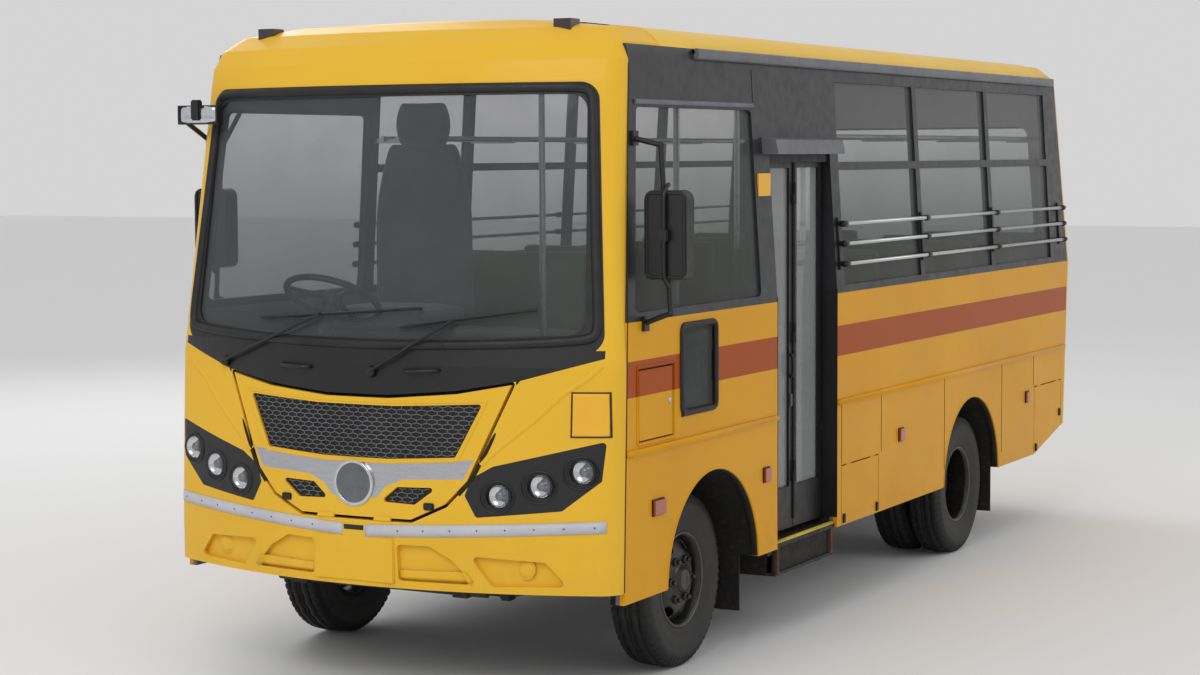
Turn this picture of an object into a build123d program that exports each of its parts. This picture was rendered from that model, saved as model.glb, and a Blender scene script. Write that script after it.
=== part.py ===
from build123d import *
from functools import cache
import math
import os

os.makedirs("parts", exist_ok=True)

# A midi school bus. Millimetres; +X is the bus's left (door) side, +Y the rear, +Z up.
# The origin is on the ground in the middle of the bus's box.

# Body size
HALF_LENGTH = 3270
HALF_WIDTH = 1100
SKIRT_Z = 430
WAIST_Z = 1578
CANT_Z = 2637
DRIP_Z = CANT_Z + 72
CROWN_Z = CANT_Z + 205
WALL = 40
TUMBLEHOME = 67
CROWN_RADIUS = 8224
ROOF_CORNER = 150
ROOF_WALL = 36
FLOOR_Z = 945
FLOOR_THICK = 40

# Axles and wheels
FRONT_AXLE_Y = -HALF_LENGTH + 1180
WHEELBASE = 3400
TYRE_R = 386
TYRE_WIDTH = 200
RIM_R = 203
FRONT_TYRE_OUTER_X = 960
REAR_TYRE_OUTER_X = 1036
TWIN_TYRE_WIDTH = 190
TWIN_GAP = 26
KINGPIN_X = 715
KINGPIN_R = 17
STUB_R = 25
RUNNING_CLEARANCE = 0.05
STEERING_ARM = 170
ARCH_R = 467
ARCH_Z = 420
LINER_THICK = 8
LINER_INNER_X = 560

# Side seams and openings: front mask seam, entrance door and rear corner
SEAM_LOW_Y = -HALF_LENGTH + 319
SEAM_WAIST_Y = -HALF_LENGTH + 357
SEAM_CANT_Y = -HALF_LENGTH + 503
MASK_ROOF_Y = -HALF_LENGTH + 820
DOOR_WIDTH = 722
DOOR_FRONT_Y = FRONT_AXLE_Y + 679
DOOR_REAR_Y = DOOR_FRONT_Y + DOOR_WIDTH
DOOR_TOP_Z = 2257
REAR_SEAM_Y = HALF_LENGTH - 170
REAR_SEAM_LOW_Y = HALF_LENGTH - 245
REAR_SEAM_CANT_Y = HALF_LENGTH - 265
REAR_ROOF_Y = HALF_LENGTH - 570

# Small gaps and plates
FLAP_GAP = 7
FLAP_THICK = 30
GLASS_THICK = 6
GLASS_INSET = 12

REAR_AXLE_Y = FRONT_AXLE_Y + WHEELBASE
FRAME_FRONT_Y = -HALF_LENGTH + 120
FRAME_REAR_Y = HALF_LENGTH - 190
RAIL_X = 400
RAIL_WIDTH = 70
RAIL_LOW_Z = 570
RAIL_TOP_Z = 750


def block(x, y, z, mode=Mode.ADD):
    """A box between pairs of X, Y and Z planes, in the part that is being built."""
    with Locations(((x[0] + x[1]) / 2, (y[0] + y[1]) / 2, (z[0] + z[1]) / 2)):
        Box(x[1] - x[0], y[1] - y[0], z[1] - z[0], mode=mode)


def rod(start, end, radius, mode=Mode.ADD):
    """A round bar from one point to another, in the part that is being built."""
    start = Vector(*start)
    end = Vector(*end)
    with Locations(Plane(origin=(start + end) / 2, z_dir=end - start)):
        Cylinder(radius, (end - start).length, mode=mode)


def side_prism(points, x, radius=0):
    """A side-view outline (Y, Z) made solid between two X planes."""
    with BuildSketch(Plane.YZ.offset(x[0])) as outline:
        Polygon(*points, align=None)
        if radius:
            fillet(outline.vertices(), radius)
    with BuildPart() as prism:
        extrude(outline.sketch, amount=x[1] - x[0])
    return prism.part


def front_prism(points, y, radius=0):
    """A front-view outline (X, Z) made solid between two Y planes, the first the farther forward."""
    with BuildSketch(Plane.XZ.offset(-y[1])) as outline:
        Polygon(*points, align=None)
        if radius:
            fillet(outline.vertices(), radius)
    with BuildPart() as prism:
        extrude(outline.sketch, amount=y[1] - y[0])
    return prism.part


def mirrored(points):
    """The left half of a front-view outline, closed by its mirror image."""
    return points + [(-x, z) for x, z in reversed(points)]


def finish(piece, name):
    piece.part.label = name
    export_step(piece.part, f"parts/{name}.step")


def wall_half_width(z):
    """Half width of the body at a height: upright below the waist, leaning in above it."""
    if z <= WAIST_Z:
        return HALF_WIDTH
    return HALF_WIDTH - TUMBLEHOME * (z - WAIST_Z) / (CANT_Z - WAIST_Z)


CANT_HALF = HALF_WIDTH - TUMBLEHOME
CORNER_X = CANT_HALF - ROOF_CORNER
CROWN_CENTRE_Z = CROWN_Z - CROWN_RADIUS
CORNER_Z = CROWN_CENTRE_Z + math.sqrt((CROWN_RADIUS - ROOF_CORNER) ** 2 - CORNER_X**2)
CORNER_TURN = math.atan2(CORNER_Z - CROWN_CENTRE_Z, CORNER_X)


def roof_half_width(z):
    """Half width of the roof's outline at a height above the corner arc's start."""
    crown_start_z = CORNER_Z + ROOF_CORNER * math.sin(CORNER_TURN)
    if z <= CORNER_Z:
        return wall_half_width(min(z, CANT_Z))
    if z <= crown_start_z:
        return CORNER_X + math.sqrt(ROOF_CORNER**2 - (z - CORNER_Z) ** 2)
    return math.sqrt(CROWN_RADIUS**2 - (z - CROWN_CENTRE_Z) ** 2)


def roof_outline(inset):
    """The roof's section above the window walls, drawn in by an inset."""
    corner = ROOF_CORNER - inset
    arc = [
        (CORNER_X + corner * math.cos(a), CORNER_Z + corner * math.sin(a))
        for a in (0, CORNER_TURN / 2, CORNER_TURN)
    ]
    other = [(-x, z) for x, z in arc]
    foot = (CANT_HALF - inset, CANT_Z)
    with BuildSketch(Plane.XZ) as section:
        with BuildLine():
            Line(foot, arc[0])
            ThreePointArc(*arc)
            ThreePointArc(arc[2], (0, CROWN_Z - inset), other[2])
            ThreePointArc(*reversed(other))
            Polyline(other[0], (-foot[0], CANT_Z), foot)
        make_face()
    return section.sketch


def roof_length(inset, y):
    """The roof's section made solid between two Y planes."""
    with BuildPart() as length:
        extrude(roof_outline(inset), amount=-(y[1] - y[0]))
    return Pos(0, y[0], 0) * length.part


def seam_y(z):
    """Y of the seam between the front mask and the sides at a height."""
    if z <= WAIST_Z:
        return SEAM_LOW_Y + (SEAM_WAIST_Y - SEAM_LOW_Y) * (z - SKIRT_Z) / (WAIST_Z - SKIRT_Z)
    return SEAM_WAIST_Y + (SEAM_CANT_Y - SEAM_WAIST_Y) * (min(z, CANT_Z) - WAIST_Z) / (CANT_Z - WAIST_Z)


# Plan sections of the two ends. Each row: height, tip's Y, bow radius, Y where the corner meets the side.
# The half width at each height comes from the body's own section.
BROW_Z = [CANT_Z - 77, CANT_Z + 7, CANT_Z + 83, CANT_Z + 143, CANT_Z + 178]
NOSE_TOP_Z = 1400
FRONT_NOSE = [
    (480, -HALF_LENGTH + 8, 2600, seam_y(480)),
    (700, -HALF_LENGTH + 2, 2600, seam_y(700)),
    (1000, -HALF_LENGTH + 14, 2600, seam_y(1000)),
    (NOSE_TOP_Z, -HALF_LENGTH + 38, 2600, seam_y(NOSE_TOP_Z)),
]
FRONT_SCREEN = [FRONT_NOSE[-1], (BROW_Z[0], -HALF_LENGTH + 227, 2800, seam_y(BROW_Z[0]))]
FRONT_BROW = [
    FRONT_SCREEN[-1],
    (BROW_Z[1], -HALF_LENGTH + 248, 2800, seam_y(BROW_Z[1])),
    (BROW_Z[2], -HALF_LENGTH + 295, 2800, SEAM_CANT_Y + 47),
    (BROW_Z[3], -HALF_LENGTH + 375, 2800, SEAM_CANT_Y + 117),
    (BROW_Z[4], -HALF_LENGTH + 465, 2800, SEAM_CANT_Y + 167),
]
REAR_LOW_Z = 560
REAR_TAIL = [
    (REAR_LOW_Z, HALF_LENGTH - 85, 12000, REAR_SEAM_LOW_Y),
    (953, HALF_LENGTH - 50, 12000, REAR_SEAM_LOW_Y + 29),
    (WAIST_Z, HALF_LENGTH, 12000, REAR_SEAM_Y),
    (BROW_Z[0], HALF_LENGTH - 92, 12000, REAR_SEAM_CANT_Y),
]
REAR_BROW = [
    REAR_TAIL[-1],
    (BROW_Z[1], HALF_LENGTH - 106, 12000, REAR_SEAM_CANT_Y - 10),
    (BROW_Z[2], HALF_LENGTH - 140, 12000, REAR_SEAM_CANT_Y - 45),
    (BROW_Z[3], HALF_LENGTH - 205, 12000, REAR_SEAM_CANT_Y - 100),
    (BROW_Z[4], HALF_LENGTH - 285, 12000, REAR_SEAM_CANT_Y - 150),
]
FRONT_BACK_Y = -HALF_LENGTH + 1070
REAR_BACK_Y = HALF_LENGTH - 870
RAMP_SEAT = 10
RAMP_LENGTH = 218
RAMP_RISE = 6


def plan_section(z, tip_y, half_width, bow, corner, back_y):
    """One level plan outline of an end: side lines, corner arcs and a bowed face."""
    facing = 1 if tip_y > back_y else -1
    bow_centre = tip_y - facing * bow
    corner_x = half_width - corner
    reach = math.sqrt((bow - corner) ** 2 - corner_x**2)
    corner_y = bow_centre + facing * reach
    turn = math.atan2(reach, corner_x)
    arc = [
        (corner_x + corner * math.cos(a), corner_y + facing * corner * math.sin(a))
        for a in (0, turn / 2, turn)
    ]
    other = [(-x, y) for x, y in arc]
    with BuildSketch(Plane.XY.offset(z)) as section:
        with BuildLine():
            Line((half_width, back_y), arc[0])
            ThreePointArc(*arc)
            ThreePointArc(arc[2], (0, tip_y), other[2])
            ThreePointArc(*reversed(other))
            Polyline(other[0], (-half_width, back_y), (half_width, back_y))
        make_face()
    return section.sketch.face()


def end_zone(rows, back_y, inset):
    """A lofted zone of one end, drawn in by an inset, which also lowers the brow's sections."""
    facing = 1 if rows[0][1] > back_y else -1
    faces = []
    for z, tip_y, bow, side_y in rows:
        rise = max(0, z - BROW_Z[0]) / (BROW_Z[-1] - BROW_Z[0])
        half = roof_half_width(z)
        depth = abs(side_y - tip_y)
        corner = (bow**2 - half**2 - (bow - depth) ** 2) / (2 * (bow - half))
        level = z - inset * rise
        tip = tip_y - facing * inset
        faces.append(plan_section(level, tip, half - inset, bow - inset, corner - inset, back_y))
    with BuildPart() as zone:
        loft(faces, ruled=True)
    return zone.part


@cache
def front_zone(inset, nose=True, screen=True, brow=False):
    """The front of the bus as a solid, drawn in by an inset."""
    zones = []
    if nose:
        zones.append(end_zone(FRONT_NOSE, FRONT_BACK_Y, inset))
    if screen:
        zones.append(end_zone(FRONT_SCREEN, FRONT_BACK_Y, inset))
    if brow:
        zones.append(end_zone(FRONT_BROW, FRONT_BACK_Y, inset))
    with BuildPart() as body:
        for zone in zones:
            add(zone)
    return body.part


@cache
def rear_zone(inset):
    """The rear of the bus as a solid, drawn in by an inset."""
    tail = end_zone(REAR_TAIL, REAR_BACK_Y, inset)
    brow = end_zone(REAR_BROW, REAR_BACK_Y, inset)
    with BuildPart() as body:
        add(tail)
        add(brow)
    return body.part


def crown_ramp(roof_y, brow_y):
    """The roof's arch running down to a brow's flat top."""
    top_z = BROW_Z[-1]
    low_z = top_z - RAMP_SEAT
    high_z = CROWN_Z + RAMP_RISE
    ramp = side_prism(
        [(brow_y, low_z), (brow_y, top_z), (roof_y, high_z), (roof_y, low_z)],
        (-HALF_WIDTH, HALF_WIDTH),
    )
    arch = roof_length(0, sorted((roof_y, brow_y)))
    with BuildPart() as crown:
        add(ramp)
        add(arch, mode=Mode.INTERSECT)
    return crown.part


def front_skin(outer_inset, inner_inset, outline, nose=True, screen=False):
    """A sheet that follows the front's surface inside a front-view outline."""
    outer = front_zone(outer_inset, nose, screen)
    inner = front_zone(inner_inset, nose, screen)
    with BuildPart() as skin:
        add(outer)
        add(inner, mode=Mode.SUBTRACT)
        add(outline, mode=Mode.INTERSECT)
    return skin.part


# Front-view outlines (X, Z) of what is let into the front, left half first
FRONT_FAR_Y = -HALF_LENGTH - 60
FRONT_NEAR_Y = -HALF_LENGTH + 470
FRONT_SPAN = (FRONT_FAR_Y, FRONT_NEAR_Y)
BUMPER_LOW_Z = 480
BUMPER_TOP_Z = 700
SCREEN_OUTLINE = mirrored([(958, CANT_Z - 85), (1046, 1452)])
GLASS_OUTLINE = mirrored([(915, CANT_Z - 134), (968, 1532), (320, 1506)])
COWL_OUTLINE = mirrored([(1046, 1470), (1046, 1438), (720, 1346), (460, 1302), (150, 1276)])
FLAP_OUTLINE = mirrored(
    [(150, 1262), (460, 1288), (690, 1330), (515, 937), (420, 838), (270, 769)]
)
MESH_OUTLINE = mirrored([(190, 1232), (574, 1250), (463, 1030), (160, 1013)])
BAR_OUTLINE = mirrored(
    [(300, 1000), (545, 1024), (498, 942), (232, 932), (151, 898), (110, 850)]
)
LOWER_GRILLE_OUTLINE = [(206, 900), (387, 904), (286, 830), (128, 836)]
LAMP_OUTLINE = [(505, 877), (534, 949), (622, 999), (1060, 1106), (1046, 945), (898, 824), (554, 789)]
LAMP_CENTRES = [(643, 878), (810, 922), (973, 982)]
LAMP_R = 50
LAMP_SEAT_DEPTH = 26
FLAP_SHUT_GAP = 14
MASK_WALL = 36
SCREEN_CORNER = 80
GLASS_CORNER = 70

screen_cut = front_prism(SCREEN_OUTLINE, FRONT_SPAN, SCREEN_CORNER)
glass_cut = front_prism(GLASS_OUTLINE, FRONT_SPAN, GLASS_CORNER)
cowl_cut = front_prism(COWL_OUTLINE, FRONT_SPAN)
flap_cut = front_prism(FLAP_OUTLINE, FRONT_SPAN)
lamp_cuts = [
    front_prism([(side * x, z) for x, z in LAMP_OUTLINE], FRONT_SPAN, 14) for side in (1, -1)
]
with BuildSketch(Plane.XZ.offset(-FRONT_NEAR_Y)) as flap_hole_outline:
    Polygon(*FLAP_OUTLINE, align=None)
    offset(amount=FLAP_SHUT_GAP)
with BuildPart() as flap_hole:
    extrude(flap_hole_outline.sketch, amount=FRONT_NEAR_Y - FRONT_FAR_Y)

# The seam between the front mask and the side and roof panels, seen from the side
mask_region = side_prism(
    [
        (FRONT_FAR_Y, BUMPER_LOW_Z - 50),
        (SEAM_LOW_Y, BUMPER_LOW_Z - 50),
        (SEAM_WAIST_Y, WAIST_Z),
        (SEAM_CANT_Y, CANT_Z),
        (SEAM_CANT_Y, DRIP_Z),
        (MASK_ROOF_Y, DRIP_Z),
        (MASK_ROOF_Y, CROWN_Z + 50),
        (FRONT_FAR_Y, CROWN_Z + 50),
    ],
    (-HALF_WIDTH - 50, HALF_WIDTH + 50),
)
mask_outer = front_zone(0, brow=True)
mask_crown = crown_ramp(MASK_ROOF_Y, MASK_ROOF_Y - RAMP_LENGTH)
mask_inner = front_zone(MASK_WALL, brow=True)

# Front mask: the moulded shell from the bumper to the roof, with its pillars and brow
with BuildPart() as front_mask:
    add(mask_outer)
    add(mask_crown)
    add(mask_inner, mode=Mode.SUBTRACT)
    add(mask_region, mode=Mode.INTERSECT)
    block((-HALF_WIDTH - 50, HALF_WIDTH + 50), (FRONT_FAR_Y, 0), (0, BUMPER_TOP_Z), Mode.SUBTRACT)
    add(screen_cut, mode=Mode.SUBTRACT)
    add(cowl_cut, mode=Mode.SUBTRACT)
    add(flap_hole.part, mode=Mode.SUBTRACT)
    for lamp_cut in lamp_cuts:
        add(lamp_cut, mode=Mode.SUBTRACT)
finish(front_mask, "front_mask")

# Front bumper: the mask's lower band with its blank plate panel and moulded pockets
POCKET_DEPTH = 24
POCKET_OUTLINES = [
    [(205, 662), (351, 664), (450, 610), (545, 512), (209, 512)],
    [(525, 631), (833, 614), (920, 515), (616, 508)],
]
pocket_sheet = front_zone(POCKET_DEPTH, nose=True, screen=False)
nose_outer = front_zone(0, nose=True, screen=False)
nose_inner = front_zone(MASK_WALL, nose=True, screen=False)
pocket_cuts = []
for side in (1, -1):
    for outline in POCKET_OUTLINES:
        prism = front_prism([(side * x, z) for x, z in outline], FRONT_SPAN, 16)
        with BuildPart() as pocket:
            add(prism)
            add(pocket_sheet, mode=Mode.SUBTRACT)
        pocket_cuts.append(pocket.part)
with BuildPart() as front_bumper:
    add(nose_outer)
    add(nose_inner, mode=Mode.SUBTRACT)
    add(mask_region, mode=Mode.INTERSECT)
    block((-HALF_WIDTH - 50, HALF_WIDTH + 50), (FRONT_FAR_Y, 0), (BUMPER_TOP_Z, CROWN_Z), Mode.SUBTRACT)
    for pocket_cut in pocket_cuts:
        add(pocket_cut, mode=Mode.SUBTRACT)
finish(front_bumper, "front_bumper")

# Windscreen: a rubber ring in the mask's opening, with the glass let into it
SCREEN_GASKET_BACK = MASK_WALL
SCREEN_GLASS_FRONT = 8
SCREEN_GLASS_THICK = 7
with BuildPart() as windscreen_gasket:
    add(front_zone(0))
    add(front_zone(SCREEN_GASKET_BACK), mode=Mode.SUBTRACT)
    add(screen_cut, mode=Mode.INTERSECT)
    add(glass_cut, mode=Mode.SUBTRACT)
    add(cowl_cut, mode=Mode.SUBTRACT)
finish(windscreen_gasket, "windscreen_gasket")

with BuildPart() as windscreen_glass:
    add(front_skin(SCREEN_GLASS_FRONT, SCREEN_GLASS_FRONT + SCREEN_GLASS_THICK, glass_cut, screen=True))
finish(windscreen_glass, "windscreen_glass")

# Cowl panel: the black band under the windscreen
COWL_BACK = MASK_WALL
with BuildPart() as cowl_panel:
    add(front_skin(0, COWL_BACK, cowl_cut, screen=True))
finish(cowl_panel, "cowl_panel")

# Grille flap: the yellow drop panel with its mesh, silver bar and plain disc
MESH_INSET = 12
MESH_THICK = 6
BAR_PROUD = 0
BAR_DEPTH = 14
DISC_R = 98
DISC_Z = 907
DISC_PROUD = 8
PIN_SEAT = 0.3
FLAP_LOW_Z = FLAP_OUTLINE[5][1]
FLAP_HINGE = (-HALF_LENGTH + 8, FLAP_LOW_Z - FLAP_SHUT_GAP / 2)
FLAP_HINGE_R = FLAP_SHUT_GAP / 2 - PIN_SEAT
FLAP_HINGE_X = (100, 180)
mesh_cut = front_prism(MESH_OUTLINE, FRONT_SPAN, 10)
bar_cut = front_prism(BAR_OUTLINE, FRONT_SPAN)
lower_cuts = [
    front_prism([(side * x, z) for x, z in LOWER_GRILLE_OUTLINE], FRONT_SPAN, 10) for side in (1, -1)
]
flap_skin = front_skin(0, FLAP_THICK, flap_cut)
bar_skin = front_skin(BAR_PROUD, BAR_DEPTH, bar_cut)
with BuildPart() as grille_flap:
    add(flap_skin)
    add(mesh_cut, mode=Mode.SUBTRACT)
    for lower_cut in lower_cuts:
        add(lower_cut, mode=Mode.SUBTRACT)
    add(bar_skin, mode=Mode.SUBTRACT)
    for side in (1, -1):
        along = sorted((side * FLAP_HINGE_X[0], side * FLAP_HINGE_X[1]))
        rod((along[0], *FLAP_HINGE), (along[1], *FLAP_HINGE), FLAP_HINGE_R)
        block(
            along,
            (FLAP_HINGE[0] - FLAP_HINGE_R / 2, FLAP_HINGE[0] + FLAP_HINGE_R),
            (FLAP_HINGE[1], FLAP_HINGE[1] + FLAP_SHUT_GAP),
        )
finish(grille_flap, "grille_flap")

mesh_sheet = front_skin(MESH_INSET, MESH_INSET + MESH_THICK, flap_cut)
with BuildPart() as mesh_openings:
    add(mesh_cut)
    for lower_cut in lower_cuts:
        add(lower_cut)
with BuildPart() as grille_mesh:
    add(mesh_sheet)
    add(mesh_openings.part, mode=Mode.INTERSECT)
    add(bar_skin, mode=Mode.SUBTRACT)
finish(grille_mesh, "grille_mesh")

disc_face_y = -HALF_LENGTH + 11
with BuildPart() as grille_bar:
    rod((0, disc_face_y - DISC_PROUD, DISC_Z), (0, disc_face_y + MASK_WALL, DISC_Z), DISC_R)
    add(nose_outer, mode=Mode.SUBTRACT)
    add(bar_skin)
finish(grille_bar, "grille_bar")

# Headlamps: black housings let into the mask, each with three round lamps in stepped seats
HOUSING_DEPTH = 60
with BuildPart() as headlamp_housings:
    for lamp_cut in lamp_cuts:
        add(front_skin(0, HOUSING_DEPTH, lamp_cut))
    add(mask_region, mode=Mode.INTERSECT)
    for side in (1, -1):
        for x, z in LAMP_CENTRES:
            bow = FRONT_NOSE[2][2]
            face_y = FRONT_NOSE[2][1] + bow - math.sqrt(bow**2 - x**2)
            with Locations(Plane((side * x, face_y + LAMP_SEAT_DEPTH, z), z_dir=(0, -1, 0))):
                Cylinder(
                    LAMP_R,
                    200,
                    align=(Align.CENTER, Align.CENTER, Align.MIN),
                    mode=Mode.SUBTRACT,
                )
finish(headlamp_housings, "headlamp_housings")

LENS_DEPTH = 20
with BuildPart() as headlamp_lenses:
    for side in (1, -1):
        for x, z in LAMP_CENTRES:
            bow = FRONT_NOSE[2][2]
            face_y = FRONT_NOSE[2][1] + bow - math.sqrt(bow**2 - x**2)
            with Locations(Plane((side * x, face_y + LAMP_SEAT_DEPTH, z), z_dir=(0, -1, 0))):
                Cylinder(LAMP_R - 2, LENS_DEPTH, align=(Align.CENTER, Align.CENTER, Align.MIN))
finish(headlamp_lenses, "headlamp_lenses")

# Side walls, upright below the waist. Side-view sizes are (low Y, high Y) and (low Z, high Z).
WALL_X = (HALF_WIDTH - WALL, HALF_WIDTH)
RUB_RAIL_Z = (1030, 1056)
RUB_RAIL_PROUD = 12
SMALL_WINDOW_Y = (FRONT_AXLE_Y - 328, FRONT_AXLE_Y + 10)
SMALL_WINDOW_Z = (1160, 1535)
SMALL_WINDOW_CORNER = 45
SERVICE_FLAP_Y = (SEAM_LOW_Y + 131, SEAM_LOW_Y + 453)
SERVICE_FLAP_Z = (1080, 1382)
LOCKER_FLAP_Y = (DOOR_REAR_Y + 56, DOOR_REAR_Y + 557)
LOCKER_FLAP_TOP_Z = 730
REAR_FLAP_Y = (REAR_SEAM_LOW_Y - 582, REAR_SEAM_LOW_Y - 35)
REAR_FLAP_TOP_Z = 845
DEPARTURE_Y = REAR_SEAM_LOW_Y - 570


def rectangle(y, z):
    return [(y[0], z[0]), (y[1], z[0]), (y[1], z[1]), (y[0], z[1])]


def arch_cut(axle_y):
    """The round wheel arch through both side walls, in the part that is being built."""
    with Locations(Plane((0, axle_y, ARCH_Z), z_dir=(1, 0, 0))):
        Cylinder(ARCH_R, 2 * HALF_WIDTH + 200, mode=Mode.SUBTRACT)


def opposite(part):
    """The same piece on the other side of the bus."""
    return mirror(part, about=Plane.YZ, mode=Mode.PRIVATE)


small_window_cut = side_prism(
    rectangle(SMALL_WINDOW_Y, SMALL_WINDOW_Z), (WALL_X[0] - 20, WALL_X[1] + 20), SMALL_WINDOW_CORNER
)
front_wall = side_prism(
    [
        (SEAM_LOW_Y, SKIRT_Z),
        (SEAM_WAIST_Y, WAIST_Z),
        (DOOR_FRONT_Y, WAIST_Z),
        (DOOR_FRONT_Y, SKIRT_Z),
    ],
    WALL_X,
)
REAR_WALL_OUTLINE = [
    (DEPARTURE_Y, SKIRT_Z),
    (REAR_SEAM_LOW_Y, REAR_LOW_Z),
    (REAR_SEAM_Y, WAIST_Z),
]
rear_wall = side_prism([(DOOR_REAR_Y, WAIST_Z), (DOOR_REAR_Y, SKIRT_Z)] + REAR_WALL_OUTLINE, WALL_X)
right_wall = side_prism(
    [(SEAM_WAIST_Y, WAIST_Z), (SEAM_LOW_Y, SKIRT_Z)] + REAR_WALL_OUTLINE, WALL_X
)
RAIL_OUT = (HALF_WIDTH, HALF_WIDTH + RUB_RAIL_PROUD)
RAIL_END_GAP = 20

with BuildPart() as left_front_panel:
    add(front_wall)
    block(RAIL_OUT, (SEAM_WAIST_Y + RAIL_END_GAP, DOOR_FRONT_Y - RAIL_END_GAP), RUB_RAIL_Z)
    arch_cut(FRONT_AXLE_Y)
    add(small_window_cut, mode=Mode.SUBTRACT)
    block((WALL_X[0] - 20, WALL_X[1] + 20), SERVICE_FLAP_Y, SERVICE_FLAP_Z, Mode.SUBTRACT)
finish(left_front_panel, "left_front_panel")

with BuildPart() as left_rear_panel:
    add(rear_wall)
    block(RAIL_OUT, (DOOR_REAR_Y + RAIL_END_GAP, REAR_SEAM_LOW_Y + RAIL_END_GAP), RUB_RAIL_Z)
    arch_cut(REAR_AXLE_Y)
    block((WALL_X[0] - 20, WALL_X[1] + 20), LOCKER_FLAP_Y, (0, LOCKER_FLAP_TOP_Z), Mode.SUBTRACT)
    block((WALL_X[0] - 20, WALL_X[1] + 20), REAR_FLAP_Y, (0, REAR_FLAP_TOP_Z), Mode.SUBTRACT)
finish(left_rear_panel, "left_rear_panel")

with BuildPart() as right_lower_panel:
    add(opposite(right_wall))
    block(
        (-RAIL_OUT[1], -RAIL_OUT[0]),
        (SEAM_WAIST_Y + RAIL_END_GAP, REAR_SEAM_LOW_Y + RAIL_END_GAP),
        RUB_RAIL_Z,
    )
    arch_cut(FRONT_AXLE_Y)
    arch_cut(REAR_AXLE_Y)
finish(right_lower_panel, "right_lower_panel")

# Flaps in the side, each on a pin that lies in its shut gap
FLAP_X = (HALF_WIDTH - FLAP_THICK, HALF_WIDTH)
PIN_OFFSET = FLAP_GAP / 2
PIN_R = PIN_OFFSET - PIN_SEAT
LUG_X = (HALF_WIDTH - 3, HALF_WIDTH)
LUG_LENGTH = 60
LUG_INSET = 60

with BuildPart() as service_flap:
    block(
        FLAP_X,
        (SERVICE_FLAP_Y[0] + FLAP_GAP, SERVICE_FLAP_Y[1] - FLAP_GAP),
        (SERVICE_FLAP_Z[0] + FLAP_GAP, SERVICE_FLAP_Z[1] - FLAP_GAP),
    )
    pin_y = SERVICE_FLAP_Y[0] + PIN_OFFSET
    for low in (SERVICE_FLAP_Z[0] + LUG_INSET, SERVICE_FLAP_Z[1] - LUG_INSET - LUG_LENGTH):
        rod((HALF_WIDTH, pin_y, low), (HALF_WIDTH, pin_y, low + LUG_LENGTH), PIN_R)
        block(LUG_X, (pin_y, pin_y + FLAP_GAP), (low, low + LUG_LENGTH))
finish(service_flap, "service_flap")

LIFT_FLAPS = {
    "locker_flap": (
        LOCKER_FLAP_Y,
        LOCKER_FLAP_TOP_Z,
        [SKIRT_Z, SKIRT_Z],
    ),
    "rear_flap": (
        REAR_FLAP_Y,
        REAR_FLAP_TOP_Z,
        [
            SKIRT_Z + (REAR_LOW_Z - SKIRT_Z) * max(0, y - DEPARTURE_Y) / (REAR_SEAM_LOW_Y - DEPARTURE_Y)
            for y in REAR_FLAP_Y
        ],
    ),
}
for name, (span, top, lows) in LIFT_FLAPS.items():
    edges = (span[0] + FLAP_GAP, span[1] - FLAP_GAP)
    plate = side_prism(
        [(edges[0], lows[0]), (edges[1], lows[1]), (edges[1], top - FLAP_GAP), (edges[0], top - FLAP_GAP)],
        FLAP_X,
    )
    pin_z = top - PIN_OFFSET
    with BuildPart() as lift_flap:
        add(plate)
        for start in (span[0] + LUG_INSET, span[1] - LUG_INSET - LUG_LENGTH):
            rod((HALF_WIDTH, start, pin_z), (HALF_WIDTH, start + LUG_LENGTH, pin_z), PIN_R)
            block(LUG_X, (start, start + LUG_LENGTH), (pin_z - FLAP_GAP, pin_z))
    finish(lift_flap, name)

# Window walls, leaning in above the waist. Each opening: low and high Y at its sill and at its head.
SILL_Z = 1614
HEAD_Z = CANT_Z - 32
TRANSOM_Z = (HEAD_Z - 430, HEAD_Z - 390)
FRONT_WINDOW_HEAD_Z = 2452
FRONT_WINDOW_REAR_Y = DOOR_FRONT_Y - 175
FRONT_WINDOW = [
    (SEAM_WAIST_Y + 75, SILL_Z),
    (SEAM_CANT_Y + 45, FRONT_WINDOW_HEAD_Z),
    (FRONT_WINDOW_REAR_Y, FRONT_WINDOW_HEAD_Z),
    (FRONT_WINDOW_REAR_Y, SILL_Z),
]
BAY_POST = 60
FIRST_BAY = 1072
LAST_BAY = 1060
BAYS_FRONT_Y = DOOR_REAR_Y + 102
BAYS_REAR_Y = REAR_SEAM_CANT_Y - 240
FIRST_POST_Y = BAYS_FRONT_Y + FIRST_BAY + BAY_POST / 2
LAST_POST_Y = BAYS_REAR_Y - LAST_BAY - BAY_POST / 2
LEFT_BAYS = [
    (BAYS_FRONT_Y, BAYS_FRONT_Y + FIRST_BAY),
    (FIRST_POST_Y + BAY_POST / 2, LAST_POST_Y - BAY_POST / 2),
    (BAYS_REAR_Y - LAST_BAY, BAYS_REAR_Y),
]
RIGHT_FRONT_BAY = (FRONT_WINDOW_REAR_Y + 86, BAYS_FRONT_Y - 63)
RIGHT_BAYS = [RIGHT_FRONT_BAY] + LEFT_BAYS
WINDOW_CORNER = 30
CANOPY_Y = (DOOR_FRONT_Y - 69, DOOR_REAR_Y)
CANOPY_Z = (DOOR_TOP_Z, DOOR_TOP_Z + 60)
CANOPY_OUT_X = 1120


def leaning_wall(y, outer_gap, thick):
    """A slab along the window wall, set in from its outer face."""
    low = wall_half_width(WAIST_Z) - outer_gap
    high = wall_half_width(CANT_Z) - outer_gap
    return front_prism(
        [(low, WAIST_Z), (high, CANT_Z), (high - thick, CANT_Z), (low - thick, WAIST_Z)], y
    )


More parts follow.
